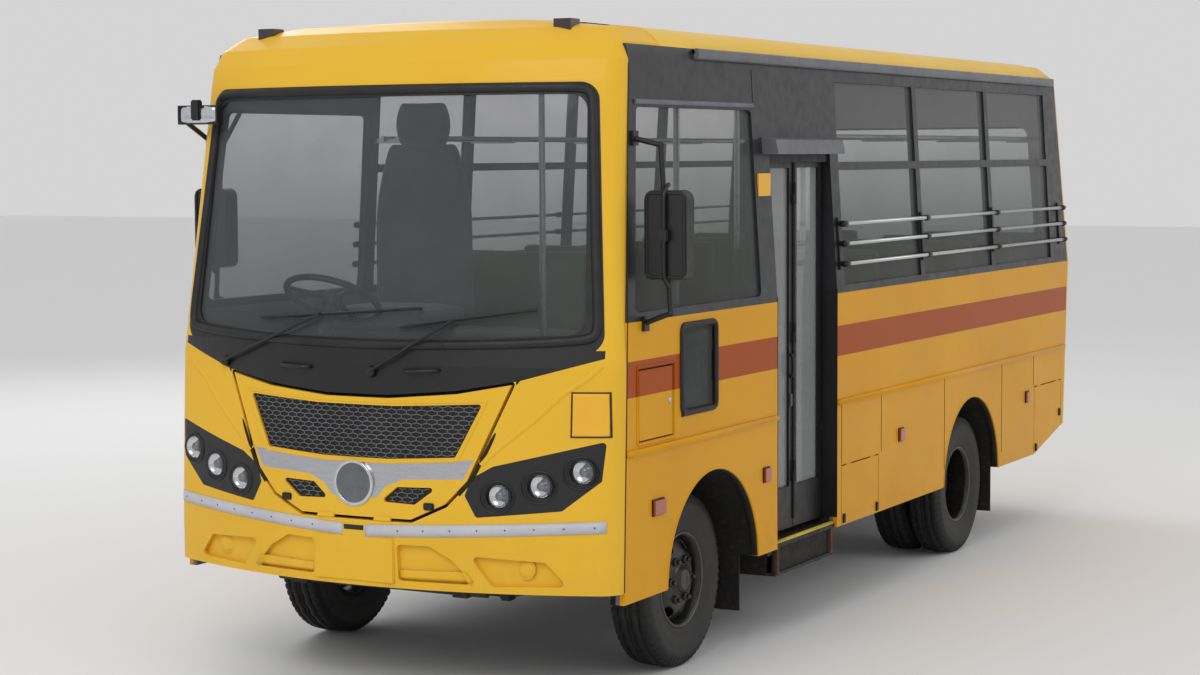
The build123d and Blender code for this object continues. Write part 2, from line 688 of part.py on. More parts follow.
def bay_outlines(bays):
    """Side-view outlines of the lower and upper panes of each bay."""
    return [rectangle(bay, z) for bay in bays for z in ((SILL_Z, TRANSOM_Z[0]), (TRANSOM_Z[1], HEAD_Z))]


THROUGH_X = (HALF_WIDTH - 250, HALF_WIDTH + 50)
WINDOW_WALL_Y = (SEAM_LOW_Y, REAR_SEAM_Y)
window_wall = leaning_wall(WINDOW_WALL_Y, 0, WALL)
pane_sheet = leaning_wall(WINDOW_WALL_Y, GLASS_INSET, GLASS_THICK)
left_front_outline = side_prism(
    [
        (SEAM_WAIST_Y, WAIST_Z),
        (SEAM_CANT_Y, CANT_Z),
        (DOOR_REAR_Y, CANT_Z),
        (DOOR_REAR_Y, DOOR_TOP_Z),
        (DOOR_FRONT_Y, DOOR_TOP_Z),
        (DOOR_FRONT_Y, WAIST_Z),
    ],
    THROUGH_X,
)
left_rear_outline = side_prism(
    [
        (DOOR_REAR_Y, WAIST_Z),
        (DOOR_REAR_Y, CANT_Z),
        (REAR_SEAM_CANT_Y, CANT_Z),
        (REAR_SEAM_Y, WAIST_Z),
    ],
    THROUGH_X,
)
right_outline = side_prism(
    [
        (SEAM_WAIST_Y, WAIST_Z),
        (SEAM_CANT_Y, CANT_Z),
        (REAR_SEAM_CANT_Y, CANT_Z),
        (REAR_SEAM_Y, WAIST_Z),
    ],
    THROUGH_X,
)
front_window_cut = side_prism(FRONT_WINDOW, THROUGH_X, WINDOW_CORNER)
left_bay_cuts = [side_prism(outline, THROUGH_X) for outline in bay_outlines(LEFT_BAYS)]
right_bay_cuts = [side_prism(outline, THROUGH_X) for outline in bay_outlines(RIGHT_BAYS)]
canopy = front_prism(
    [
        (wall_half_width(CANOPY_Z[0]), CANOPY_Z[0]),
        (CANOPY_OUT_X, CANOPY_Z[0]),
        (CANOPY_OUT_X, CANOPY_Z[1] - 15),
        (wall_half_width(CANOPY_Z[1]), CANOPY_Z[1]),
    ],
    CANOPY_Y,
)

with BuildPart() as left_front_window_frame:
    add(window_wall)
    add(left_front_outline, mode=Mode.INTERSECT)
    add(front_window_cut, mode=Mode.SUBTRACT)
    add(canopy)
finish(left_front_window_frame, "left_front_window_frame")

with BuildPart() as left_rear_window_frame:
    add(window_wall)
    add(left_rear_outline, mode=Mode.INTERSECT)
    for bay_cut in left_bay_cuts:
        add(bay_cut, mode=Mode.SUBTRACT)
finish(left_rear_window_frame, "left_rear_window_frame")

with BuildPart() as right_wall_upper:
    add(window_wall)
    add(right_outline, mode=Mode.INTERSECT)
    add(front_window_cut, mode=Mode.SUBTRACT)
    for bay_cut in right_bay_cuts:
        add(bay_cut, mode=Mode.SUBTRACT)
with BuildPart() as right_window_frame:
    add(opposite(right_wall_upper.part))
finish(right_window_frame, "right_window_frame")

lower_pane = side_prism(
    rectangle(SMALL_WINDOW_Y, SMALL_WINDOW_Z),
    (HALF_WIDTH - GLASS_INSET - GLASS_THICK, HALF_WIDTH - GLASS_INSET),
    SMALL_WINDOW_CORNER,
)
left_panes = []
for cut in [front_window_cut] + left_bay_cuts:
    with BuildPart() as pane:
        add(pane_sheet)
        add(cut, mode=Mode.INTERSECT)
    left_panes.append(pane.part)
right_panes = []
for cut in [front_window_cut] + right_bay_cuts:
    with BuildPart() as pane:
        add(pane_sheet)
        add(cut, mode=Mode.INTERSECT)
    right_panes.append(opposite(pane.part))
with BuildPart() as side_glass:
    add(lower_pane)
    for pane in left_panes + right_panes:
        add(pane)
finish(side_glass, "side_glass")

# Guard rails: three bars along each row of windows, on brackets at the posts
GUARD_RAIL_Z = (1720, 1818, 1915)
GUARD_RAIL_R = 12
GUARD_STAND_OFF = 45
GUARD_BRACKET_Z = (1690, 1945)
GUARD_BRACKET_HALF = 14
POST_BRACKETS = [FIRST_POST_Y, LAST_POST_Y, BAYS_REAR_Y + 175]
LEFT_BRACKETS = [BAYS_FRONT_Y - 53] + POST_BRACKETS
RIGHT_BRACKETS = [RIGHT_FRONT_BAY[0] - 40, BAYS_FRONT_Y - 33] + POST_BRACKETS
bracket_outline = [
    (wall_half_width(GUARD_BRACKET_Z[0]), GUARD_BRACKET_Z[0]),
    (wall_half_width(GUARD_BRACKET_Z[0]) + GUARD_STAND_OFF, GUARD_BRACKET_Z[0]),
    (wall_half_width(GUARD_BRACKET_Z[1]) + GUARD_STAND_OFF, GUARD_BRACKET_Z[1]),
    (wall_half_width(GUARD_BRACKET_Z[1]), GUARD_BRACKET_Z[1]),
]
guard_sets = []
for brackets in (LEFT_BRACKETS, RIGHT_BRACKETS):
    feet = [
        front_prism(bracket_outline, (y - GUARD_BRACKET_HALF, y + GUARD_BRACKET_HALF)) for y in brackets
    ]
    with BuildPart() as guard_set:
        for foot in feet:
            add(foot)
        for z in GUARD_RAIL_Z:
            x = wall_half_width(z) + GUARD_STAND_OFF
            rod((x, brackets[0] - 30, z), (x, brackets[-1] + 30, z), GUARD_RAIL_R)
    guard_sets.append(guard_set.part)
with BuildPart() as guard_rails:
    add(guard_sets[0])
    add(opposite(guard_sets[1]))
finish(guard_rails, "guard_rails")


# Roof: one arched section, parted into the black cantrails and the yellow roof
DRIP_R = 12
DRIP_Y = (MASK_ROOF_Y + 303, REAR_SEAM_CANT_Y - 76)
DRIP_ROD_Z = DRIP_Z - 14
cant_y = (SEAM_CANT_Y, REAR_SEAM_CANT_Y)
roof_y = (MASK_ROOF_Y, REAR_ROOF_Y)
FAR_X = (-HALF_WIDTH - 50, HALF_WIDTH + 50)
with BuildPart() as cantrails:
    add(roof_length(0, cant_y))
    add(roof_length(ROOF_WALL, cant_y), mode=Mode.SUBTRACT)
    block(FAR_X, (-HALF_LENGTH, HALF_LENGTH), (DRIP_Z, CROWN_Z + 50), Mode.SUBTRACT)
    for side in (1, -1):
        drip_x = side * roof_half_width(DRIP_ROD_Z)
        rod((drip_x, DRIP_Y[0], DRIP_ROD_Z), (drip_x, DRIP_Y[1], DRIP_ROD_Z), DRIP_R)
finish(cantrails, "cantrails")

with BuildPart() as roof_panel:
    add(roof_length(0, roof_y))
    add(roof_length(ROOF_WALL, roof_y), mode=Mode.SUBTRACT)
    block(FAR_X, (-HALF_LENGTH, HALF_LENGTH), (CANT_Z - 50, DRIP_Z), Mode.SUBTRACT)
finish(roof_panel, "roof_panel")

# Rear panel: the rounded tail with its window
REAR_SPAN = (HALF_LENGTH - 670, HALF_LENGTH + 60)
REAR_WINDOW = mirrored([(820, 2420), (860, 1680)])
REAR_WINDOW_CORNER = 70
TAIL_LAMP = [(885, 1180), (985, 1180), (985, 860), (885, 860)]
TAIL_LAMP_PROUD = 14
rear_region = side_prism(
    [
        (REAR_SEAM_LOW_Y, REAR_LOW_Z),
        (REAR_SEAM_Y, WAIST_Z),
        (REAR_SEAM_CANT_Y, CANT_Z),
        (REAR_SEAM_CANT_Y, DRIP_Z),
        (REAR_ROOF_Y, DRIP_Z),
        (REAR_ROOF_Y, CROWN_Z + 50),
        (HALF_LENGTH + 50, CROWN_Z + 50),
        (HALF_LENGTH + 50, REAR_LOW_Z),
    ],
    FAR_X,
)
rear_window_cut = front_prism(REAR_WINDOW, REAR_SPAN, REAR_WINDOW_CORNER)
rear_crown = crown_ramp(REAR_ROOF_Y, REAR_ROOF_Y + RAMP_LENGTH)
with BuildPart() as rear_panel:
    add(rear_zone(0))
    add(rear_crown)
    add(rear_zone(WALL), mode=Mode.SUBTRACT)
    add(rear_region, mode=Mode.INTERSECT)
    add(rear_window_cut, mode=Mode.SUBTRACT)
finish(rear_panel, "rear_panel")

with BuildPart() as rear_glass:
    add(rear_zone(GLASS_INSET))
    add(rear_zone(GLASS_INSET + GLASS_THICK), mode=Mode.SUBTRACT)
    add(rear_window_cut, mode=Mode.INTERSECT)
finish(rear_glass, "rear_glass")

# Signal lamps: side markers, roof markers and tail lamps. Side rows: Y and length.
SIDE_MARKERS = [
    (SEAM_LOW_Y + 305, 100),
    (DOOR_FRONT_Y - 132, 60),
    (DOOR_REAR_Y + 868, 60),
    (REAR_SEAM_LOW_Y - 727, 60),
]
MARKER_Z = (765, 825)
MARKER_PROUD = 16
ROOF_MARKER_X = 745
ROOF_MARKER_Y = (-HALF_LENGTH + 470, -HALF_LENGTH + 550)
ROOF_MARKER_HALF = 40
ROOF_MARKER_Z = (CROWN_Z - 122, CROWN_Z - 26)
tail_prisms = [
    front_prism([(side * x, z) for x, z in TAIL_LAMP], (REAR_SPAN[0] + 400, REAR_SPAN[1])) for side in (1, -1)
]
with BuildPart() as signal_lamps:
    for prism in tail_prisms:
        add(prism)
    add(rear_zone(-TAIL_LAMP_PROUD), mode=Mode.INTERSECT)
    add(rear_zone(0), mode=Mode.SUBTRACT)
    for side in (1, -1):
        for y, length in SIDE_MARKERS:
            faces = sorted((side * HALF_WIDTH, side * (HALF_WIDTH + MARKER_PROUD)))
            block(faces, (y - length / 2, y + length / 2), MARKER_Z)
        middle = side * ROOF_MARKER_X
        block((middle - ROOF_MARKER_HALF, middle + ROOF_MARKER_HALF), ROOF_MARKER_Y, ROOF_MARKER_Z)
    add(mask_outer, mode=Mode.SUBTRACT)
    add(mask_crown, mode=Mode.SUBTRACT)
finish(signal_lamps, "signal_lamps")

# Wheel-arch liners, each with its mud flap
FLAP_X_SPANS = {FRONT_AXLE_Y: (700, 1000), REAR_AXLE_Y: (640, 1050)}
MUD_FLAP_LOW_Z = 170
MUD_FLAP_THICK = 10
liners = []
for axle_y, flap_x in FLAP_X_SPANS.items():
    with BuildPart() as liner:
        with BuildSketch(Plane.YZ.offset(LINER_INNER_X)):
            with Locations((axle_y, ARCH_Z)):
                Circle(ARCH_R + LINER_THICK)
                Circle(ARCH_R, mode=Mode.SUBTRACT)
        extrude(amount=HALF_WIDTH - WALL - LINER_INNER_X)
        block((0, HALF_WIDTH), (axle_y - 600, axle_y + 600), (-100, SKIRT_Z), Mode.SUBTRACT)
        flap_y = axle_y + math.sqrt(ARCH_R**2 - (SKIRT_Z - ARCH_Z) ** 2)
        block(flap_x, (flap_y, flap_y + MUD_FLAP_THICK), (MUD_FLAP_LOW_Z, SKIRT_Z + 30))
    liners.append(liner.part)
with BuildPart() as arch_liners:
    for liner in liners:
        add(liner)
        add(opposite(liner))
finish(arch_liners, "arch_liners")

# Ladder frame: channel rails, cross members, body bearers and the front bar
CROSS_MEMBERS = [
    FRAME_FRONT_Y + 30,
    FRONT_AXLE_Y + 440,
    FRONT_AXLE_Y + 1390,
    REAR_AXLE_Y - 1010,
    FRAME_REAR_Y - 980,
    FRAME_REAR_Y - 30,
]
CROSS_HALF = 35
CROSS_Z = (600, 720)
BEARERS = [
    FRONT_AXLE_Y - 510,
    FRONT_AXLE_Y + 540,
    FRONT_AXLE_Y + 1490,
    REAR_AXLE_Y - 960,
    FRAME_REAR_Y - 1080,
    FRAME_REAR_Y - 180,
]
BEARER_HALF = 30
CHANNEL_WALL = 7
RAIL_IN = RAIL_X - RAIL_WIDTH / 2
RAIL_OUTER = RAIL_X + RAIL_WIDTH / 2
FLOOR_LOW_Z = FLOOR_Z - FLOOR_THICK
BEARER_X = HALF_WIDTH - WALL - 5
FRONT_BAR_Y = FRAME_FRONT_Y + 90
FRONT_BAR_Z = 452
FRONT_BAR_R = 20
FRONT_BAR_HALF = 520
TOW_EYE_R = 20
TOW_EYE_HALF = 15
TOW_EYE_Z = 560
TOW_EYE_WALL = 40
FRONT_EYE_Y = FRAME_FRONT_Y - 10
REAR_EYE_Y = FRAME_REAR_Y + 10
with BuildPart() as chassis_frame:
    for side in (1, -1):
        web = sorted((side * RAIL_IN, side * RAIL_OUTER))
        pocket = sorted((side * (RAIL_IN - 1), side * (RAIL_OUTER - CHANNEL_WALL)))
        block(web, (FRAME_FRONT_Y, FRAME_REAR_Y), (RAIL_LOW_Z, RAIL_TOP_Z))
        block(
            pocket,
            (FRAME_FRONT_Y - 1, FRAME_REAR_Y + 1),
            (RAIL_LOW_Z + CHANNEL_WALL, RAIL_TOP_Z - CHANNEL_WALL),
            Mode.SUBTRACT,
        )
        for y in BEARERS:
            reach = sorted((side * RAIL_IN, side * BEARER_X))
            block(reach, (y - BEARER_HALF, y + BEARER_HALF), (RAIL_TOP_Z + PIN_SEAT, FLOOR_LOW_Z))
        hanger = sorted((side * RAIL_IN, side * RAIL_OUTER))
        block(hanger, (FRONT_BAR_Y - 25, FRONT_BAR_Y + 25), (FRONT_BAR_Z - 25, RAIL_LOW_Z))
    for y in CROSS_MEMBERS:
        block((-RAIL_OUTER + 1, RAIL_OUTER - 1), (y - CROSS_HALF, y + CROSS_HALF), CROSS_Z)
    rod((-FRONT_BAR_HALF, FRONT_BAR_Y, FRONT_BAR_Z), (FRONT_BAR_HALF, FRONT_BAR_Y, FRONT_BAR_Z), FRONT_BAR_R)
finish(chassis_frame, "chassis_frame")

# Tow eyes: a plate under the first and the last cross member
with BuildPart() as tow_eyes:
    for y, inward in ((FRONT_EYE_Y, 60), (REAR_EYE_Y, -80)):
        tail = sorted((y - math.copysign(TOW_EYE_WALL, inward), y + inward))
        block((-TOW_EYE_HALF, TOW_EYE_HALF), tail, (TOW_EYE_Z - TOW_EYE_WALL, CROSS_Z[0]))
        rod((-TOW_EYE_HALF, y, TOW_EYE_Z), (TOW_EYE_HALF, y, TOW_EYE_Z), TOW_EYE_R, Mode.SUBTRACT)
finish(tow_eyes, "tow_eyes")

# Leaf springs under the rails. Rows: axle Y, half length, height of the spring's seat at the axle.
AXLE_TUBE_R = 55
SPRING_HALF_WIDTH = 30
SPRING_END_Z = (505, 525)
SPRING_PACK = 50
BEAM_TOP_Z = 430
HANGER_HALF = 30
SPRINGS = [
    (FRONT_AXLE_Y, 620, BEAM_TOP_Z),
    (REAR_AXLE_Y, 700, TYRE_R + AXLE_TUBE_R),
]
spring_parts = []
for axle_y, half, seat_z in SPRINGS:
    spring_parts.append(
        side_prism(
            [
                (axle_y - half, SPRING_END_Z[0]),
                (axle_y - 70, seat_z),
                (axle_y + 70, seat_z),
                (axle_y + half, SPRING_END_Z[0]),
                (axle_y + half, RAIL_LOW_Z),
                (axle_y + half - HANGER_HALF, RAIL_LOW_Z),
                (axle_y + half - HANGER_HALF, SPRING_END_Z[1]),
                (axle_y + 70, seat_z + SPRING_PACK),
                (axle_y - 70, seat_z + SPRING_PACK),
                (axle_y - half + HANGER_HALF, SPRING_END_Z[1]),
                (axle_y - half + HANGER_HALF, RAIL_LOW_Z),
                (axle_y - half, RAIL_LOW_Z),
            ],
            (RAIL_X - SPRING_HALF_WIDTH, RAIL_X + SPRING_HALF_WIDTH),
        )
    )
with BuildPart() as leaf_springs:
    for spring in spring_parts:
        add(spring)
        add(opposite(spring))
finish(leaf_springs, "leaf_springs")

# Front axle beam with an eye for each kingpin
BEAM_HALF_DEPTH = 35
BEAM_CENTRE_Z = (320, 400)
BOSS_R = 38
BOSS_Z = (TYRE_R - 45, TYRE_R + 45)
BEAM_REACH = KINGPIN_X - 75
SPRING_PAD_HALF = 70
with BuildPart() as front_axle_beam:
    block(
        (-BEAM_REACH, BEAM_REACH),
        (FRONT_AXLE_Y - BEAM_HALF_DEPTH, FRONT_AXLE_Y + BEAM_HALF_DEPTH),
        BEAM_CENTRE_Z,
    )
    for side in (1, -1):
        pad = sorted((side * (RAIL_X - 40), side * (RAIL_X + 40)))
        block(
            pad,
            (FRONT_AXLE_Y - SPRING_PAD_HALF, FRONT_AXLE_Y + SPRING_PAD_HALF),
            (BEAM_CENTRE_Z[0], BEAM_TOP_Z),
        )
        neck = sorted((side * (BEAM_REACH - 40), side * KINGPIN_X))
        block(neck, (FRONT_AXLE_Y - 28, FRONT_AXLE_Y + 28), BOSS_Z)
        rod((side * KINGPIN_X, FRONT_AXLE_Y, BOSS_Z[0]), (side * KINGPIN_X, FRONT_AXLE_Y, BOSS_Z[1]), BOSS_R)
        rod(
            (side * KINGPIN_X, FRONT_AXLE_Y, BOSS_Z[0] - 5),
            (side * KINGPIN_X, FRONT_AXLE_Y, BOSS_Z[1] + 5),
            KINGPIN_R + RUNNING_CLEARANCE,
            Mode.SUBTRACT,
        )
finish(front_axle_beam, "front_axle_beam")

# Steering knuckles: a fork round the beam's eye, the kingpin, the stub axle and a straight arm
FORK_GAP = 5
FORK_PLATE = 26
FORK_R = 40
STUB_END_X = FRONT_TYRE_OUTER_X - 56
ARM_PIN_R = 10
ARM_HALF = 16
EYE_R = 26
EYE_HALF_HEIGHT = 12
ARM_Z = (BOSS_Z[0] - FORK_GAP - FORK_PLATE, BOSS_Z[0] - FORK_GAP)
ARM_END_Y = FRONT_AXLE_Y + STEERING_ARM
TIE_ROD_R = 15
for side, name in ((1, "knuckle_left"), (-1, "knuckle_right")):
    pin_x = side * KINGPIN_X
    upper_z = (BOSS_Z[1] + FORK_GAP, BOSS_Z[1] + FORK_GAP + FORK_PLATE)
    with BuildPart() as knuckle:
        for z in (ARM_Z, upper_z):
            rod((pin_x, FRONT_AXLE_Y, z[0]), (pin_x, FRONT_AXLE_Y, z[1]), FORK_R)
            lug = sorted((pin_x, pin_x + side * 68))
            block(lug, (FRONT_AXLE_Y - 34, FRONT_AXLE_Y + 34), z)
        web = sorted((pin_x + side * (BOSS_R + 6), pin_x + side * 68))
        block(web, (FRONT_AXLE_Y - 34, FRONT_AXLE_Y + 34), (ARM_Z[0], upper_z[1]))
        rod((pin_x, FRONT_AXLE_Y, ARM_Z[0]), (pin_x, FRONT_AXLE_Y, upper_z[1]), KINGPIN_R)
        rod((pin_x, FRONT_AXLE_Y, TYRE_R), (side * STUB_END_X, FRONT_AXLE_Y, TYRE_R), STUB_R)
        rod(
            (pin_x, FRONT_AXLE_Y, BOSS_Z[0]),
            (pin_x, FRONT_AXLE_Y, BOSS_Z[1]),
            BOSS_R + FORK_GAP,
            Mode.SUBTRACT,
        )
        rod((pin_x, FRONT_AXLE_Y, ARM_Z[0]), (pin_x, FRONT_AXLE_Y, upper_z[1]), KINGPIN_R)
        block((pin_x - ARM_HALF, pin_x + ARM_HALF), (FRONT_AXLE_Y, ARM_END_Y), ARM_Z)
        rod((pin_x, ARM_END_Y, ARM_Z[0]), (pin_x, ARM_END_Y, ARM_Z[1]), ARM_HALF)
        pin_low_z = ARM_Z[0] - 2 * EYE_HALF_HEIGHT - 8
        rod((pin_x, ARM_END_Y, pin_low_z), (pin_x, ARM_END_Y, ARM_Z[0]), ARM_PIN_R)
    finish(knuckle, name)

EYE_Z = ARM_Z[0] - 5 - EYE_HALF_HEIGHT
with BuildPart() as tie_rod:
    rod((-KINGPIN_X, ARM_END_Y, EYE_Z), (KINGPIN_X, ARM_END_Y, EYE_Z), TIE_ROD_R * 0.7)
    for side in (1, -1):
        rod(
            (side * KINGPIN_X, ARM_END_Y, EYE_Z - EYE_HALF_HEIGHT),
            (side * KINGPIN_X, ARM_END_Y, EYE_Z + EYE_HALF_HEIGHT),
            EYE_R,
        )
        rod(
            (side * KINGPIN_X, ARM_END_Y, EYE_Z - 40),
            (side * KINGPIN_X, ARM_END_Y, EYE_Z + 40),
            ARM_PIN_R + RUNNING_CLEARANCE,
            Mode.SUBTRACT,
        )
finish(tie_rod, "tie_rod")

# Rear axle with its differential and the propeller shaft
REAR_STUB_R = 45
TWIN_INNER_X = REAR_TYRE_OUTER_X - 2 * TWIN_TYRE_WIDTH - TWIN_GAP
REAR_TUBE_END_X = TWIN_INNER_X
REAR_STUB_END_X = REAR_TYRE_OUTER_X - 160
DIFFERENTIAL_R = 160
DIFFERENTIAL_HALF = 95
GEARBOX_REAR_Y = FRONT_AXLE_Y + 290
SHAFT_R = 38
SHAFT_FRONT_Z = 540
with BuildPart() as rear_axle:
    rod((-REAR_TUBE_END_X, REAR_AXLE_Y, TYRE_R), (REAR_TUBE_END_X, REAR_AXLE_Y, TYRE_R), AXLE_TUBE_R)
    rod((-REAR_STUB_END_X, REAR_AXLE_Y, TYRE_R), (REAR_STUB_END_X, REAR_AXLE_Y, TYRE_R), REAR_STUB_R)
    rod(
        (0, REAR_AXLE_Y - DIFFERENTIAL_HALF, TYRE_R),
        (0, REAR_AXLE_Y + DIFFERENTIAL_HALF, TYRE_R),
        DIFFERENTIAL_R,
    )
    rod((0, GEARBOX_REAR_Y, SHAFT_FRONT_Z), (0, REAR_AXLE_Y, TYRE_R), SHAFT_R)
    block((-100, 100), (GEARBOX_REAR_Y - 100, GEARBOX_REAR_Y), (400, 700), Mode.SUBTRACT)
finish(rear_axle, "rear_axle")

# Engine and gearbox as one plain block, on feet in the rails
ENGINE_Y = (FRONT_AXLE_Y - 850, FRONT_AXLE_Y - 270)
ENGINE_HALF = 240
ENGINE_Z = (480, 1230)
GEARBOX_HALF = 140
GEARBOX_Z = (450, 800)
with BuildPart() as engine_block:
    block((-ENGINE_HALF, ENGINE_HALF), ENGINE_Y, ENGINE_Z)
    block((-GEARBOX_HALF, GEARBOX_HALF), (ENGINE_Y[1], GEARBOX_REAR_Y), GEARBOX_Z)
    for y in (ENGINE_Y[0] + 140, ENGINE_Y[0] + 440):
        block((-RAIL_OUTER + CHANNEL_WALL, RAIL_OUTER - CHANNEL_WALL), (y - 40, y + 40), (610, 680))
finish(engine_block, "engine_block")

# Fuel tank on the right rail and silencer on the left one
TANK_Y = (FRONT_AXLE_Y + 1790, FRONT_AXLE_Y + 2690)
TANK_Z = (470, 745)
TANK_X = (-930, -RAIL_OUTER)
SILENCER_X = 640
SILENCER_R = 95
SILENCER_Y = (TANK_Y[0] + 260, TANK_Y[0] + 940)
SILENCER_Z = 640
with BuildPart() as underfloor_units:
    block(TANK_X, TANK_Y, TANK_Z)
    fillet(underfloor_units.edges().filter_by(Axis.Y), 45)
    rod((SILENCER_X, SILENCER_Y[0], SILENCER_Z), (SILENCER_X, SILENCER_Y[1], SILENCER_Z), SILENCER_R)
    for y in (SILENCER_Y[0] + 140, SILENCER_Y[0] + 520):
        block((RAIL_OUTER, SILENCER_X), (y - 20, y + 20), (SILENCER_Z - 15, SILENCER_Z + 15))
    tail_x = SILENCER_X - 30
    rod((tail_x, SILENCER_Y[0] - 250, SILENCER_Z - 30), (tail_x, SILENCER_Y[0] + 10, SILENCER_Z - 30), 28)
finish(underfloor_units, "underfloor_units")


# Wheels: a rim and a tyre turned about the axle, as (X, radius) profiles
def turned(points, axle_y):
    """A profile in (X, radius) turned about an axle."""
    plane = Plane((0, axle_y, TYRE_R), x_dir=(1, 0, 0), z_dir=(0, -1, 0))
    with BuildSketch(plane) as profile:
        Polygon(*points, align=None)
    with BuildPart() as solid:
        revolve(profile.sketch, axis=Axis((0, axle_y, TYRE_R), (1, 0, 0)))
    return solid.part


BEAD_CLEAR = 0.3
RIM_WALL = 9
SHOULDER_INSET = 16
SHOULDER_DROP = 30


def tyre_profile(outer_x, width, shoulder=True):
    """A tyre's section: flat walls and tread, with a bevelled shoulder on the side that shows."""
    inner_x = outer_x - width
    bore = RIM_R + BEAD_CLEAR
    bevel = [(outer_x, TYRE_R - SHOULDER_DROP), (outer_x - SHOULDER_INSET, TYRE_R)]
    tread = bevel if shoulder else [(outer_x, TYRE_R)]
    return [(outer_x, bore)] + tread + [(inner_x, TYRE_R), (inner_x, bore)]


HUB_R = 75
CAP_R = 58
FRONT_DISC_X = (FRONT_TYRE_OUTER_X - 88, FRONT_TYRE_OUTER_X - 76)
FRONT_RIM_X = (FRONT_TYRE_OUTER_X - TYRE_WIDTH + 24, FRONT_TYRE_OUTER_X - 24)
FRONT_CAP_X = FRONT_TYRE_OUTER_X - 20
FRONT_HUB_X = FRONT_TYRE_OUTER_X - 165
front_rim_profile = [
    (FRONT_RIM_X[0], RIM_R - RIM_WALL),
    (FRONT_RIM_X[0], RIM_R),
    (FRONT_RIM_X[1], RIM_R),
    (FRONT_RIM_X[1], RIM_R - RIM_WALL),
    (FRONT_DISC_X[1], RIM_R - RIM_WALL),
    (FRONT_DISC_X[1], CAP_R),
    (FRONT_CAP_X, CAP_R),
    (FRONT_CAP_X, 0),
    (STUB_END_X + 1, 0),
    (STUB_END_X + 1, STUB_R + RUNNING_CLEARANCE),
    (FRONT_HUB_X, STUB_R + RUNNING_CLEARANCE),
    (FRONT_HUB_X, HUB_R),
    (FRONT_DISC_X[0], HUB_R),
    (FRONT_DISC_X[0], RIM_R - RIM_WALL),
]
REAR_DISC_X = (REAR_TYRE_OUTER_X - TWIN_TYRE_WIDTH - TWIN_GAP, REAR_TYRE_OUTER_X - TWIN_TYRE_WIDTH + 6)
REAR_RIM_X = (TWIN_INNER_X + 24, REAR_TYRE_OUTER_X - 24)
REAR_HUB_X = TWIN_INNER_X + 12
REAR_CAP_X = REAR_TYRE_OUTER_X - 100
REAR_HUB_R = 105
rear_rim_profile = [
    (REAR_RIM_X[0], RIM_R - RIM_WALL),
    (REAR_RIM_X[0], RIM_R),
    (REAR_RIM_X[1], RIM_R),
    (REAR_RIM_X[1], RIM_R - RIM_WALL),
    (REAR_DISC_X[1], RIM_R - RIM_WALL),
    (REAR_DISC_X[1], REAR_HUB_R),
    (REAR_CAP_X, REAR_HUB_R),
    (REAR_CAP_X, 0),
    (REAR_STUB_END_X + 1, 0),
    (REAR_STUB_END_X + 1, REAR_STUB_R + RUNNING_CLEARANCE),
    (REAR_HUB_X, REAR_STUB_R + RUNNING_CLEARANCE),
    (REAR_HUB_X, REAR_HUB_R),
    (REAR_DISC_X[0], REAR_HUB_R),
    (REAR_DISC_X[0], RIM_R - RIM_WALL),
]
WHEEL_SETS = {
    "front_rim": (FRONT_AXLE_Y, [front_rim_profile]),
    "front_tyre": (FRONT_AXLE_Y, [tyre_profile(FRONT_TYRE_OUTER_X, TYRE_WIDTH)]),
    "rear_rim": (REAR_AXLE_Y, [rear_rim_profile]),
    "rear_tyres": (
        REAR_AXLE_Y,
        [
            tyre_profile(REAR_TYRE_OUTER_X, TWIN_TYRE_WIDTH),
            tyre_profile(REAR_TYRE_OUTER_X - TWIN_TYRE_WIDTH - TWIN_GAP, TWIN_TYRE_WIDTH, shoulder=False),
        ],
    ),
}
for name, (axle_y, profiles) in WHEEL_SETS.items():
    for side, end in ((1, "left"), (-1, "right")):
        rounds = [turned([(side * x, r) for x, r in profile], axle_y) for profile in profiles]
        with BuildPart() as wheel_piece:
            for solid in rounds:
                add(solid)
        finish(wheel_piece, f"{name}_{end}")

# Floor with the engine cover and the open step well
STEP_WELL_X = 445
FLOOR_REAR_Y = REAR_SEAM_Y - 110
FLOOR_FRONT_Y = -HALF_LENGTH + 200
FLOOR_CORNER_Y = -HALF_LENGTH + 325
HUMP_WALL = 20
HUMP_CLEAR = 12
HUMP_X = ENGINE_HALF + HUMP_CLEAR + HUMP_WALL
HUMP_Y = (ENGINE_Y[0] - HUMP_CLEAR - HUMP_WALL, ENGINE_Y[1] + HUMP_CLEAR + HUMP_WALL)
HUMP_TOP_Z = ENGINE_Z[1] + HUMP_CLEAR + HUMP_WALL
FLOOR_X = HALF_WIDTH - WALL
DOORWAY_Y = (DOOR_FRONT_Y, DOOR_REAR_Y)
with BuildPart() as floor:
    with BuildSketch(Plane.XY.offset(FLOOR_LOW_Z)):
        Polygon(
            (-FLOOR_X, FLOOR_REAR_Y),
            (FLOOR_X, FLOOR_REAR_Y),
            (FLOOR_X, SEAM_WAIST_Y + 15),
            (880, FLOOR_CORNER_Y),
            (480, FLOOR_FRONT_Y),
            (-480, FLOOR_FRONT_Y),
            (-880, FLOOR_CORNER_Y),
            (-FLOOR_X, SEAM_WAIST_Y + 15),
            align=None,
        )
    extrude(amount=FLOOR_THICK)
    block((STEP_WELL_X, FLOOR_X + 1), DOORWAY_Y, (FLOOR_LOW_Z - 1, FLOOR_Z + 1), Mode.SUBTRACT)
    block((-HUMP_X, HUMP_X), HUMP_Y, (FLOOR_LOW_Z, HUMP_TOP_Z))
    block(
        (-HUMP_X + HUMP_WALL, HUMP_X - HUMP_WALL),
        (HUMP_Y[0] + HUMP_WALL, HUMP_Y[1] - HUMP_WALL),
        (FLOOR_LOW_Z - 1, HUMP_TOP_Z - HUMP_WALL),
        Mode.SUBTRACT,
    )
finish(floor, "floor")

